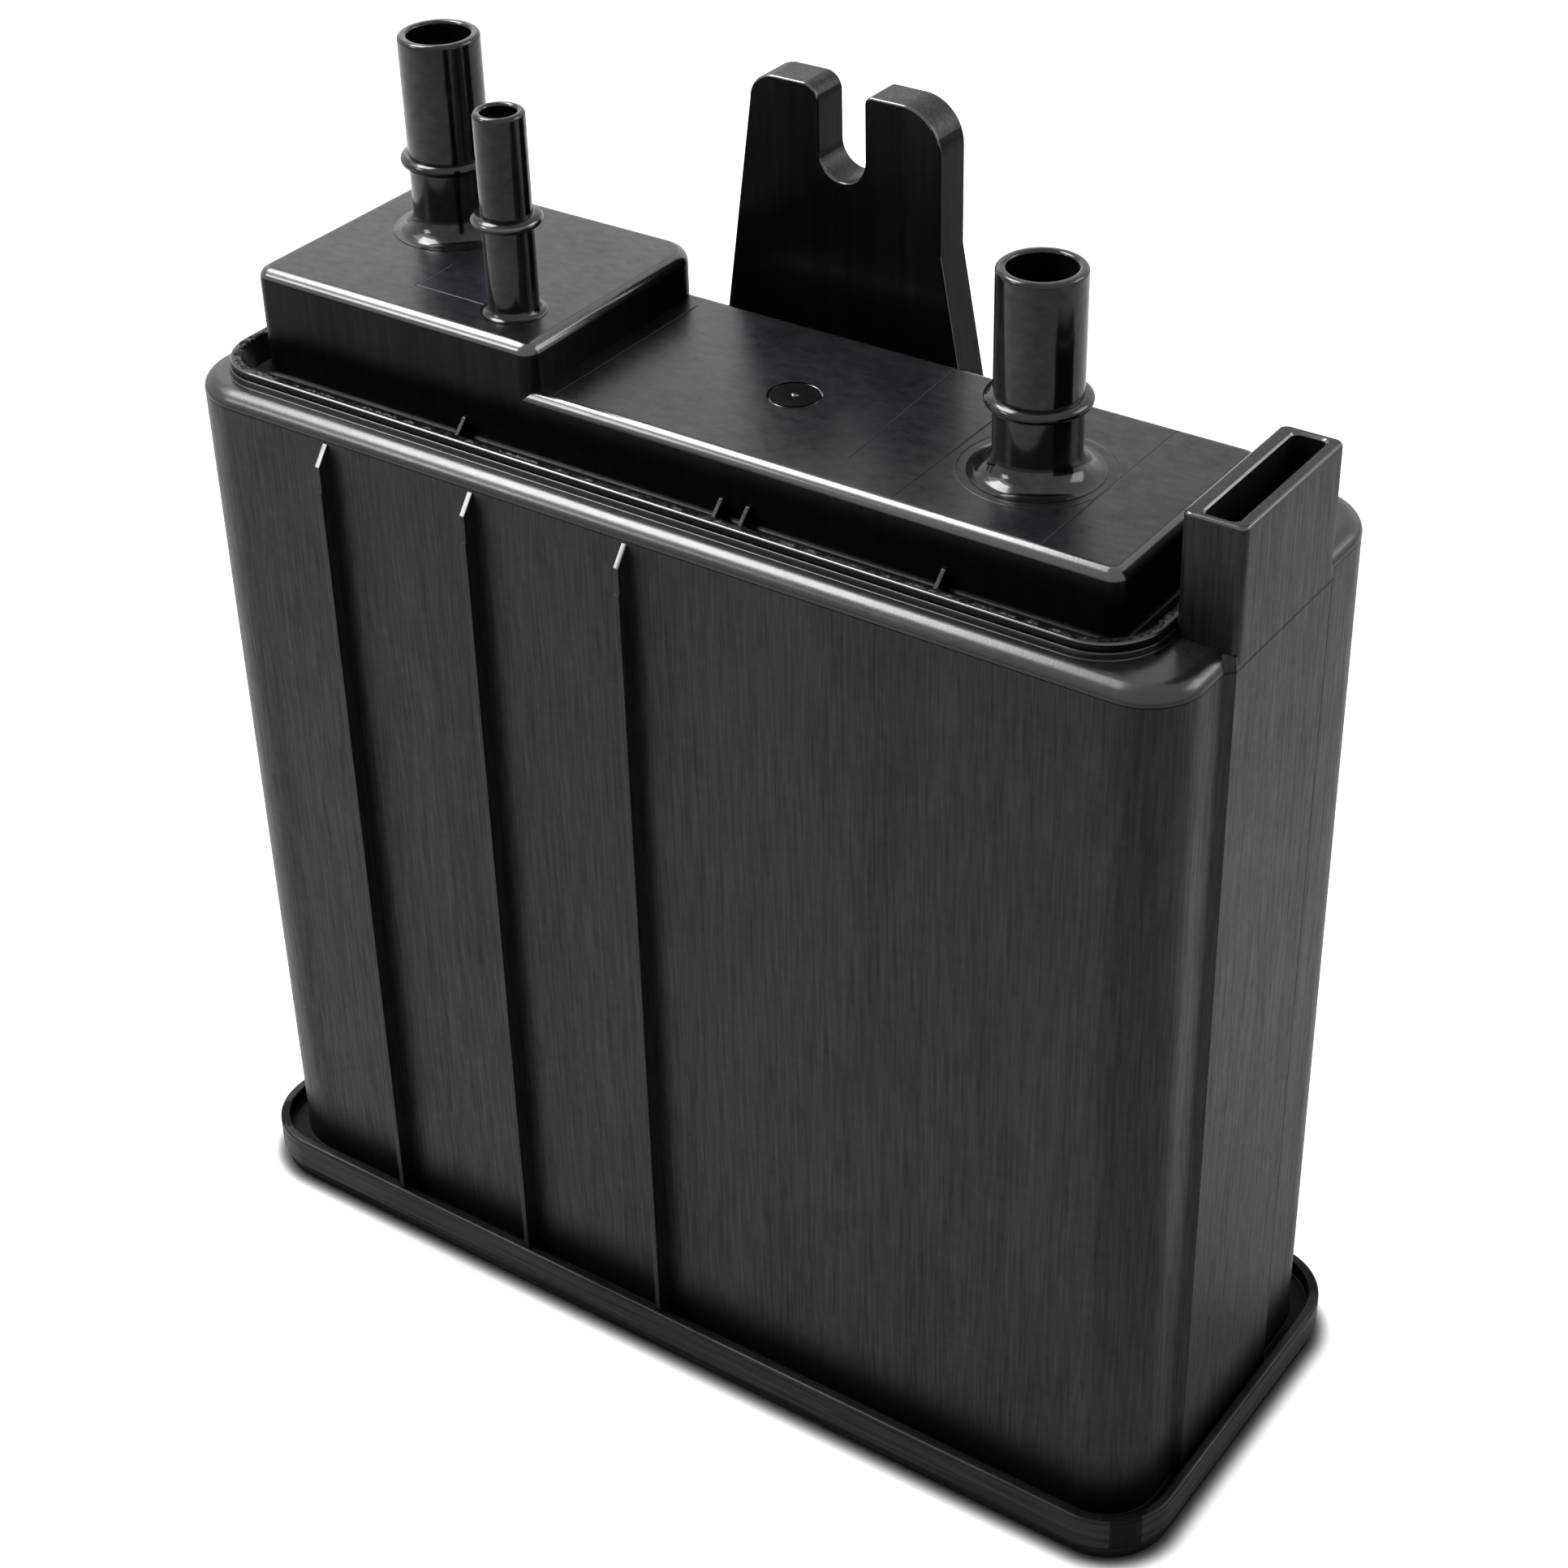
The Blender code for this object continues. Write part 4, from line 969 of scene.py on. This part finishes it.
# %% [markdown]
# A material is put together from these effects. Masks mix two near blacks and two
# gloss levels, and the heights add up to one bump. The uniform values stay on the
# shader's own sockets. The plastic is so dark that most of what the eye sees is
# gloss, so the coat carries more of the contrast than the colour does.

# %% Building blocks of a material
def place_group(tree, group, **values):
    node = tree.nodes.new("ShaderNodeGroup")
    node.node_tree = group
    for key, value in values.items():
        node.inputs[key].default_value = value
    return node


def mixed_colour(tree, mask, low, high):
    node = tree.nodes.new("ShaderNodeMix")
    node.data_type = "RGBA"
    node.inputs["A"].default_value = (*low, 1.0)
    node.inputs["B"].default_value = (*high, 1.0)
    tree.links.new(mask, node.inputs["Factor"])
    return node.outputs["Result"]


def ranged(tree, mask, low, high):
    node = add(tree, "ShaderNodeMapRange", To_Min=low, To_Max=high)
    tree.links.new(mask, node.inputs["Value"])
    return node.outputs["Result"]


def summed(tree, heights):
    """Heights in metres, each with its own depth, added up."""
    total = None
    for height, depth in heights:
        part = math_node(tree, "MULTIPLY", height, depth)
        total = part if total is None else math_node(tree, "ADD", total, part)
    return total


def greatest(tree, masks):
    total = masks[0]
    for mask in masks[1:]:
        total = math_node(tree, "MAXIMUM", total, mask)
    return total


def plastic(name, specular=0.5, coat_roughness=0.3):
    material = bpy.data.materials.new(name)
    material.use_nodes = True
    tree = material.node_tree
    shader = tree.nodes["Principled BSDF"]
    shader.inputs["Specular IOR Level"].default_value = specular
    shader.inputs["Coat Roughness"].default_value = coat_roughness
    return material, tree, shader


def finish_material(tree, shader, colour, roughness, height, coat=None):
    bump = add(tree, "ShaderNodeBump", Distance=1.0, Strength=1.0)
    tree.links.new(height, bump.inputs["Height"])
    tree.links.new(colour, shader.inputs["Base Color"])
    tree.links.new(roughness, shader.inputs["Roughness"])
    tree.links.new(bump.outputs["Normal"], shader.inputs["Normal"])
    if coat:
        tree.links.new(coat, shader.inputs["Coat Weight"])


# %% Housing plastic: satin black, drawn upwards
PAD_EDGE = PAD_REAR - 0.7
PAD_LINE = ((PAD_X + DRAFT) * MM, PAD_EDGE * MM, LIP_TOP * MM), (PAD_X * MM, PAD_EDGE * MM, PARTING * MM)
FOOT_SHADE_FULL_BELOW, FOOT_SHADE_GONE_ABOVE = LIP_TOP + 1, LIP_TOP + 15
HAIRLINE = 0.00022
PAD_HAIRLINE = 0.00025
PARTING_HAIRLINE = 0.00032


def eased_between(tree, value, low, high):
    """0 below low, 1 above high, both in mm, with a soft start and end."""
    node = add(
        tree, "ShaderNodeMapRange", interpolation_type="SMOOTHSTEP", From_Min=low * MM, From_Max=high * MM)
    tree.links.new(value, node.inputs["Value"])
    return node.outputs["Result"]


def clear_of_foot_shade(tree):
    """0 at the lip, 1 from 15 mm above it: the coat fades out towards the lip, a painted shade that darkens the
    foot of the wall.
    """
    return eased_between(tree, object_height(tree), FOOT_SHADE_FULL_BELOW, FOOT_SHADE_GONE_ABOVE)


def housing_plastic():
    material, tree, shader = plastic("housing_black_nylon", specular=0.07, coat_roughness=0.38)
    marks = place_group(tree, DRAG_MARKS, Scale=1500.0)
    grain = place_group(tree, GRAIN, Scale=3200.0)
    parting = place_group(
        tree, PARTING_LINE, Level=(PARTING - 0.1) * MM, Width=PARTING_HAIRLINE).outputs[0]
    line = greatest(tree, [parting, place_group(
        tree, WITNESS_LINE, Start=PAD_LINE[0], End=PAD_LINE[1], Width=PAD_HAIRLINE).outputs[0]])
    colour = mixed_colour(tree, marks.outputs["Mask"], (0.0025, 0.0027, 0.0029), (0.0070, 0.0074, 0.0078))
    drawn = math_node(tree, "MULTIPLY", marks.outputs["Mask"], 0.7)
    blend = math_node(tree, "MULTIPLY_ADD", grain.outputs["Clouds"], 0.3, drawn)
    roughness = ranged(tree, blend, 0.50, 0.36)
    # The coat is kept off the hairlines, and fades out towards the lip as painted shade, darker towards the
    # bottom.
    kept = math_node(tree, "MULTIPLY", math_node(tree, "SUBTRACT", 1.0, line), clear_of_foot_shade(tree))
    coat = math_node(tree, "MULTIPLY", ranged(tree, blend, 0.18, 0.86), kept)
    height = summed(tree, [
        (marks.outputs["Height"], 0.00003), (grain.outputs["Height"], 0.00001), (line, -0.00012)])
    finish_material(tree, shader, colour, roughness, height, coat)
    return material


HOUSING_BLACK = housing_plastic()
print("drawn walls:", HOUSING_BLACK.name)

# %% [markdown]
# The band above the parting line comes from the other half of the mould, which
# was polished, and the rounded edges are burnished by hands and packing. Both get
# a low roughness, so that they mirror the lamps as a bright line, and a little
# grain, so that the line breaks up as it does on real plastic.

# %% Shoulder plastic: the rounded band above the parting line, from the polished half
def shoulder_plastic():
    material, tree, shader = plastic("shoulder_black_nylon", specular=0.65)
    grain = place_group(tree, GRAIN, Scale=2600.0)
    colour = mixed_colour(tree, grain.outputs["Clouds"], (0.004, 0.004, 0.0042), (0.009, 0.009, 0.0094))
    roughness = ranged(tree, grain.outputs["Clouds"], 0.20, 0.30)
    height = summed(tree, [(grain.outputs["Height"], 0.000012)])
    finish_material(tree, shader, colour, roughness, height)
    return material


SHOULDER_BLACK = shoulder_plastic()
print("shoulder:", SHOULDER_BLACK.name)


# %% Edge plastic: rounded edges, which hands and packing have burnished
def edge_plastic():
    material, tree, shader = plastic("edge_burnished_nylon", specular=0.8, coat_roughness=0.16)
    grain = place_group(tree, GRAIN, Scale=2600.0)
    colour = mixed_colour(tree, grain.outputs["Clouds"], (0.004, 0.004, 0.0042), (0.008, 0.008, 0.0084))
    roughness = ranged(tree, grain.outputs["Clouds"], 0.14, 0.24)
    coat = ranged(tree, grain.outputs["Clouds"], 0.9, 0.4)
    height = summed(tree, [(grain.outputs["Height"], 0.000006)])
    finish_material(tree, shader, colour, roughness, height, coat)
    return material


EDGE_BLACK = edge_plastic()
print("edges:", EDGE_BLACK.name)

# %% [markdown]
# Upright faces of the cover and the tab, the tray floor, the rim's flash and the
# date disc get a darker, less glossy copy of the nylon: painted shade, which keeps
# them nearly black. Their drag marks and grain are real. The band at the foot shows
# fine layers along its length, for which the drag marks of the wall are stretched
# the other way.

# %% Painted-shade plastic: upright and sunk faces kept very dark by painted shade, with real drag marks
def painted_shade_plastic():
    material, tree, shader = plastic("upright_nylon_painted_shade", specular=0.08, coat_roughness=0.22)
    marks = place_group(tree, DRAG_MARKS, Scale=900.0)
    grain = place_group(tree, GRAIN, Scale=2600.0)
    # Painted shade: a darker colour and a low specular keep these faces nearly black; the drag marks and grain
    # are real.
    colour = mixed_colour(tree, marks.outputs["Mask"], (0.0020, 0.0021, 0.0023), (0.0050, 0.0052, 0.0056))
    roughness = ranged(tree, grain.outputs["Clouds"], 0.24, 0.38)
    coat = ranged(tree, marks.outputs["Mask"], 0.0, 0.12)
    height = summed(tree, [(marks.outputs["Height"], 0.000012), (grain.outputs["Height"], 0.000006)])
    finish_material(tree, shader, colour, roughness, height, coat)
    return material


PAINTED_SHADE_BLACK = painted_shade_plastic()
print("upright faces:", PAINTED_SHADE_BLACK.name)


# %% Foot plastic: the band at the foot, drawn in layers along its length
def foot_plastic():
    material, tree, shader = plastic("foot_black_nylon", specular=0.08, coat_roughness=0.34)
    layers = place_group(tree, DRAG_MARKS, Scale=1100.0, Stretch=(0.03, 0.03, 1.0))
    grain = place_group(tree, GRAIN, Scale=2600.0)
    colour = mixed_colour(tree, layers.outputs["Mask"], (0.0020, 0.0021, 0.0023), (0.0110, 0.0114, 0.0120))
    roughness = ranged(tree, grain.outputs["Clouds"], 0.34, 0.50)
    coat = ranged(tree, layers.outputs["Mask"], 0.0, 0.65)
    height = summed(tree, [(layers.outputs["Height"], 0.00004), (grain.outputs["Height"], 0.00001)])
    finish_material(tree, shader, colour, roughness, height, coat)
    return material


FOOT_BLACK = foot_plastic()
print("foot:", FOOT_BLACK.name)

# %% [markdown]
# The cover's mould was built from inserts, and each joint between two of them left
# a hairline. A line is given by its two ends, in metres, and drawn by distance, so
# it needs no cut in the mesh.

# %% Cover plastic: softly grained, with the hairlines of its mould inserts
TOP = PLATEAU_TOP * MM
HIGH = BOX_TOP * MM
COVER_LINES = (
    ((-0.0270, -0.0248, TOP), (-0.0270, 0.0204, TOP)),
    ((0.0460, -0.0237, TOP), (0.0460, 0.0092, TOP)),
    ((0.0460, -0.0262, TOP - 0.003), (0.0460, -0.0262, TOP - 0.012)),
    ((0.0758, -0.0244, TOP), (0.0758, 0.0237, TOP)),
    ((0.0758, -0.0262, TOP - 0.003), (0.0758, -0.0262, TOP - 0.012)),
    ((0.0295, 0.0227, TOP), (0.0320, -0.0156, TOP)),
    ((-0.0663, -0.0157, HIGH), (-0.0492, -0.0157, HIGH)),
    ((-0.0663, -0.0157, HIGH), (-0.0663, -0.0055, HIGH)),
)
VENT_RING_RADIUS = 0.0142


def cover_plastic():
    material, tree, shader = plastic("cover_black_nylon", specular=0.22)
    grain = place_group(tree, GRAIN, Scale=3600.0)
    lines = [
        place_group(tree, WITNESS_LINE, Start=start, End=end, Width=HAIRLINE).outputs[0]
        for start, end in COVER_LINES
    ]
    centre = (SPIGOTS["vent"]["x"] * MM, SPIGOTS["vent"]["y"] * MM, TOP)
    lines.append(place_group(
        tree, WITNESS_RING, Centre=centre, Radius=VENT_RING_RADIUS, Width=HAIRLINE).outputs[0])
    line = greatest(tree, lines)
    colour = mixed_colour(tree, grain.outputs["Clouds"], (0.003, 0.0032, 0.0050), (0.010, 0.0105, 0.0150))
    roughness = ranged(tree, grain.outputs["Clouds"], 0.24, 0.36)
    kept = math_node(tree, "SUBTRACT", 1.0, line)
    coat = math_node(tree, "MULTIPLY", ranged(tree, grain.outputs["Clouds"], 0.0, 0.56), kept)
    height = summed(tree, [(grain.outputs["Height"], 0.00002), (line, -0.00010)])
    finish_material(tree, shader, colour, roughness, height, coat)
    return material


COVER_BLACK = cover_plastic()
print("cover:", COVER_BLACK.name)

# %% [markdown]
# A hose has to slide onto a spigot and seal there, so the spigots come from polished
# steel. They are the glossiest of the finishes, and only a faint grain is left.


# %% Spigot plastic: the same nylon from a polished mould
def spigot_plastic():
    material, tree, shader = plastic("spigot_polished_nylon", specular=0.28, coat_roughness=0.10)
    grain = place_group(tree, GRAIN, Scale=1500.0)
    marks = place_group(tree, DRAG_MARKS, Scale=900.0)
    colour = mixed_colour(tree, grain.outputs["Clouds"], (0.003, 0.003, 0.003), (0.006, 0.006, 0.006))
    roughness = ranged(tree, marks.outputs["Mask"], 0.12, 0.19)
    coat = ranged(tree, grain.outputs["Clouds"], 0.0, 0.7)
    height = summed(tree, [(grain.outputs["Height"], 0.000002), (marks.outputs["Height"], 0.000004)])
    finish_material(tree, shader, colour, roughness, height, coat)
    return material


SPIGOT_BLACK = spigot_plastic()
print("spigots:", SPIGOT_BLACK.name)

# %% [markdown]
# One moulding carries several finishes, because each part of its mould was made
# and polished apart; one more is the darker copy that paints shade on upright and
# sunk faces. A face picks its finish by a rule about where it lies and which way it
# looks, and the first rule that holds wins.

# %% Painting by rules
NEARLY_UPRIGHT = 0.17
NEARLY_LEVEL = 0.975


def paint(piece, *materials):
    piece.data.materials.clear()
    for material in materials:
        piece.data.materials.append(material)


def paint_by_rules(piece, usual, *rules):
    """Rules are (material, test); a face that passes none of the tests gets the usual material."""
    paint(piece, usual, *[material for material, holds in rules])
    for face in piece.data.polygons:
        place, facing = face.center / MM, face.normal
        fits = [index for index, (material, holds) in enumerate(rules, 1) if holds(place, facing)]
        face.material_index = fits[0] if fits else 0


def sloping(facing):
    """True for the rounded edges between a level face and an upright one."""
    return NEARLY_UPRIGHT < facing.z < NEARLY_LEVEL


# %% Rules for the faces of the cover
def on_spigot(place, facing):
    """A spigot and its flared foot."""
    for spigot in SPIGOTS.values():
        away = math.hypot(place.x - spigot["x"], place.y - spigot["y"])
        if away < spigot["radius"] + spigot["foot"] + 0.05 and place.z > spigot["surface"] + 0.05:
            return True
    return False


def on_cover_edge(place, facing):
    """The rounded tops of plateau and high box, and the outer edge of the rim."""
    outward = place.x * facing.x + place.y * facing.y > 0
    on_rim = RIM_TOP - 0.6 < place.z < RIM_TOP + 0.05 and outward
    return (place.z > RIM_TOP + 0.6 or on_rim) and sloping(facing)


def from_date(place):
    return math.hypot(place.x - DATE_X, place.y - DATE_Y)


def on_date_dot(place, facing):
    return from_date(place) < 0.9 and place.z > PLATEAU_TOP + 0.05


def on_cover_wall(place, facing):
    """Upright faces, the floor of the tray, and the smooth disc of the date insert, which all take the painted
    shade.
    """
    on_insert = from_date(place) < DATE_RADIUS and place.z > TRAY_FLOOR
    on_tray = TRAY_FLOOR - 0.5 < place.z < TRAY_FLOOR + 1.2
    return abs(facing.z) < NEARLY_UPRIGHT or on_insert or on_tray


# Upright faces, the tray floor and the date disc of the cover get the painted shade.
paint_by_rules(
    cover, COVER_BLACK, (SPIGOT_BLACK, on_spigot), (EDGE_BLACK, on_date_dot), (EDGE_BLACK, on_cover_edge),
    (PAINTED_SHADE_BLACK, on_cover_wall))
print("cover painted with", len(cover.data.materials), "finishes")


# %% Rules for the faces of the housing
def in_front_of_wall(place):
    return place.y < -HALF_DEPTH - 0.2


def on_housing_edge(place, facing):
    """Edges of the socket and the tab, but not the tab's big curves, and the chamfers of the ribs."""
    on_top = place.z > COLLAR_TOP + 5 and (place.y < TAB_FRONT - 1 or abs(facing.y) > 0.2)
    on_chamfer = in_front_of_wall(place) and RIB_TOP - RIB_CHAMFER - 0.11 < place.z < RIB_TOP
    return (on_top or on_chamfer) and sloping(facing)


def on_shoulder(place, facing):
    """The band above the parting line, clear of socket and tab."""
    near_socket = place.x > SOCKET_INNER_X - 0.5 and PAD_FRONT - 2.6 < place.y < PAD_REAR + 0.5
    near_tab = place.y > TAB_FRONT and abs(place.x - TAB_CENTRE) < TAB_HALF + 10
    in_band = PARTING < place.z < COLLAR_TOP + 0.1
    return in_band and not (near_socket or near_tab or in_front_of_wall(place))


def on_foot(place, facing):
    """The lip and what lies below it, outside the gutter."""
    outside = abs(place.x) > HALF_LENGTH + 2.6 or abs(place.y) > HALF_DEPTH + 2.6
    return place.z < LIP_TOP + 0.05 and outside


def on_tab_wall(place, facing):
    """Front, back and sides of the tab, down to the collar."""
    return place.z > COLLAR_TOP + 0.5 and place.y > TAB_FRONT - 1 and abs(facing.z) < 0.35


# The walls of the tab get the painted shade.
paint_by_rules(
    housing, HOUSING_BLACK, (EDGE_BLACK, on_housing_edge), (SHOULDER_BLACK, on_shoulder),
    (FOOT_BLACK, on_foot), (PAINTED_SHADE_BLACK, on_tab_wall))
paint(base, FOOT_BLACK)
paint(top_bead, HOUSING_BLACK)
# The flash on the rim gets the painted shade.
paint(rim_flash, PAINTED_SHADE_BLACK)
paint(foot_bead, FOOT_BLACK)
print("housing painted with", len(housing.data.materials), "finishes")

# %% [markdown]
# ## Hidden contents
# The springs, plates, foam screens and carbon beds are never seen in this view,
# but whoever opens the model finds them, so they get real finishes too. Their CAD
# shapes are right as they are. One recipe serves all of them: cells for granules
# or pores, and a little grain.

# %% Recipe for the contents
def simple_finish(name, low, high, scale, depth, rough, metallic=0.0):
    """Cells of 1/scale m, depth in m; colour and roughness go from low to high in clouds."""
    material, tree, shader = plastic(name)
    shader.inputs["Metallic"].default_value = metallic
    cells = add(tree, "ShaderNodeTexVoronoi", Scale=scale)
    tree.links.new(object_place(tree), cells.inputs["Vector"])
    grain = place_group(tree, GRAIN, Scale=scale * 2)
    colour = mixed_colour(tree, grain.outputs["Clouds"], low, high)
    roughness = ranged(tree, grain.outputs["Clouds"], *rough)
    height = summed(tree, [(cells.outputs["Distance"], depth), (grain.outputs["Height"], depth * 0.3)])
    finish_material(tree, shader, colour, roughness, height)
    return material


# %% Carbon, foam, natural nylon and spring steel
CONTENTS = {
    "carbon_bed": simple_finish(
        "packed_carbon", (0.006, 0.006, 0.006), (0.02, 0.02, 0.02),
        scale=500.0, depth=0.0012, rough=(0.75, 0.95)),
    "screen": simple_finish(
        "filter_foam", (0.10, 0.11, 0.12), (0.22, 0.23, 0.24),
        scale=900.0, depth=0.0006, rough=(0.85, 0.98)),
    "plate": simple_finish(
        "natural_nylon", (0.58, 0.56, 0.50), (0.64, 0.62, 0.56),
        scale=60.0, depth=0.00001, rough=(0.42, 0.55)),
    "grid": simple_finish(
        "natural_nylon_grid", (0.56, 0.54, 0.48), (0.62, 0.60, 0.54),
        scale=60.0, depth=0.00001, rough=(0.42, 0.55)),
    "spring": simple_finish(
        "spring_steel", (0.42, 0.42, 0.43), (0.58, 0.58, 0.58),
        scale=400.0, depth=0.00001, rough=(0.22, 0.38), metallic=1.0),
}
for name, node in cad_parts.items():
    for key, material in CONTENTS.items():
        if key in name:
            paint(node, material)
print("contents painted:", sorted(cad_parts))

# %% [markdown]
# ## Studio
# The floor is white paper, which the camera sees lit up to white. The dark line
# where the canister touches it is painted into the paper by distance from the base
# plate, because the glow would wash out most of a real contact shadow.

# %% Floor
FLOOR_SIZE = 8.0
FLOOR_DROP = 0.0002
FLOOR_COLOUR = (0.72, 0.72, 0.72)
SHADE_COLOUR = (0.10, 0.10, 0.10)
SHADE_START, SHADE_REACH = -1.0, 5.0
GLOW_DIRECT, GLOW_MIRRORED = 0.85, 0.10


def make_floor():
    half = FLOOR_SIZE / 2
    builder = bmesh.new()
    corners = [(-half, -half), (half, -half), (half, half), (-half, half)]
    builder.faces.new([builder.verts.new((x, y, -FLOOR_DROP)) for x, y in corners])
    floor = new_object("studio_floor", builder)
    return floor


def contact_shade(tree):
    """0 at the edge of the base plate, 1 from a few millimetres away on the paper."""
    rounding = FLANGE_CORNER - BASE_INSET
    length, depth = (size + FLANGE_REACH - BASE_INSET - rounding for size in (HALF_LENGTH, HALF_DEPTH))
    flat = vector_node(tree, "MULTIPLY", object_place(tree), (1.0, 1.0, 0.0))
    beyond = vector_node(tree, "SUBTRACT", vector_node(tree, "ABSOLUTE", flat), (length * MM, depth * MM, 0.0))
    away = vector_node(tree, "LENGTH", vector_node(tree, "MAXIMUM", beyond))
    fade = eased_between(tree, away, rounding + SHADE_START, rounding + SHADE_REACH)
    return math_node(tree, "POWER", fade, 2.0)


# %% Paper
def floor_paper():
    """Diffuse paper that glows to white for the camera, and faintly in a mirror image."""
    material = bpy.data.materials.new("white_paper")
    material.use_nodes = True
    tree = material.node_tree
    tree.nodes.clear()
    path = tree.nodes.new("ShaderNodeLightPath")
    open_floor = contact_shade(tree)
    colour = mixed_colour(tree, open_floor, SHADE_COLOUR, FLOOR_COLOUR)
    diffuse = tree.nodes.new("ShaderNodeBsdfDiffuse")
    tree.links.new(colour, diffuse.inputs["Color"])
    direct = math_node(tree, "MAXIMUM", path.outputs["Is Camera Ray"], path.outputs["Is Transmission Ray"])
    lift = math_node(
        tree, "ADD", math_node(tree, "MULTIPLY", direct, GLOW_DIRECT),
        math_node(tree, "MULTIPLY", path.outputs["Is Glossy Ray"], GLOW_MIRRORED))
    glow = tree.nodes.new("ShaderNodeEmission")
    tree.links.new(math_node(tree, "MULTIPLY", lift, open_floor), glow.inputs["Strength"])
    both = tree.nodes.new("ShaderNodeAddShader")
    tree.links.new(diffuse.outputs[0], both.inputs[0])
    tree.links.new(glow.outputs[0], both.inputs[1])
    out = tree.nodes.new("ShaderNodeOutputMaterial")
    tree.links.new(both.outputs[0], out.inputs[0])
    return material


floor = make_floor()
paint(floor, floor_paper())
print("floor:", FLOOR_SIZE, "m square")

# %% [markdown]
# The world is white to the camera and in reflections, and gives a low even light
# besides. Black nylon shows its shape by what it mirrors, so most lamps are there
# to be mirrored: two high on the left for the shoulder and the rounded edges, a
# small one in front, and two behind for the end wall and the back.

# %% World
WORLD_LEVEL = 0.18


def seen_directly(tree):
    path = tree.nodes.new("ShaderNodeLightPath")
    seen = math_node(tree, "MAXIMUM", path.outputs["Is Camera Ray"], path.outputs["Is Glossy Ray"])
    return math_node(tree, "MAXIMUM", seen, path.outputs["Is Transmission Ray"])


def make_world():
    world = bpy.data.worlds.new("studio_world")
    world.use_nodes = True
    tree = world.node_tree
    background = tree.nodes["Background"]
    level = ranged(tree, seen_directly(tree), WORLD_LEVEL, 1.0)
    tree.links.new(level, background.inputs["Strength"])
    background.inputs["Color"].default_value = (1.0, 1.0, 1.0, 1.0)
    bpy.context.scene.world = world


make_world()
print("world gives a level of", WORLD_LEVEL)


# %% Softboxes
def softbox(name, place, width, height, power):
    """Rectangular lamp, in metres and watts, aimed at the middle of the canister."""
    data = bpy.data.lights.new(name, "AREA")
    data.shape = "RECTANGLE"
    data.size = width
    data.size_y = height
    data.energy = power
    lamp = bpy.data.objects.new(name, data)
    bpy.context.collection.objects.link(lamp)
    lamp.location = place
    lamp.rotation_mode = "QUATERNION"
    lamp.rotation_quaternion = (MIDDLE - Vector(place)).to_track_quat("-Z", "Y")


MIDDLE = Vector((0.0, -0.02, 0.18))
LAMPS = (
    ("softbox_overhead_left", (-0.85, -0.28, 1.28), 0.95, 0.70, 4.5),
    ("strip_overhead_left", (-0.68, 0.0, 1.25), 0.75, 0.45, 16.0),
    ("softbox_front_left", (-0.80, -0.80, 0.82), 0.30, 0.30, 2.6),
    ("softbox_back_left", (-1.15, 1.10, 0.85), 0.9, 0.7, 1.0),
    ("softbox_back_right", (1.10, 0.95, 0.95), 0.8, 0.8, 7.4),
)
for lamp in LAMPS:
    softbox(*lamp)

# %% [markdown]
# ## View transform
# The view transform is Standard, so that a colour comes out as it was written.

# %% Set the view transform
bpy.context.scene.view_settings.view_transform = "Standard"
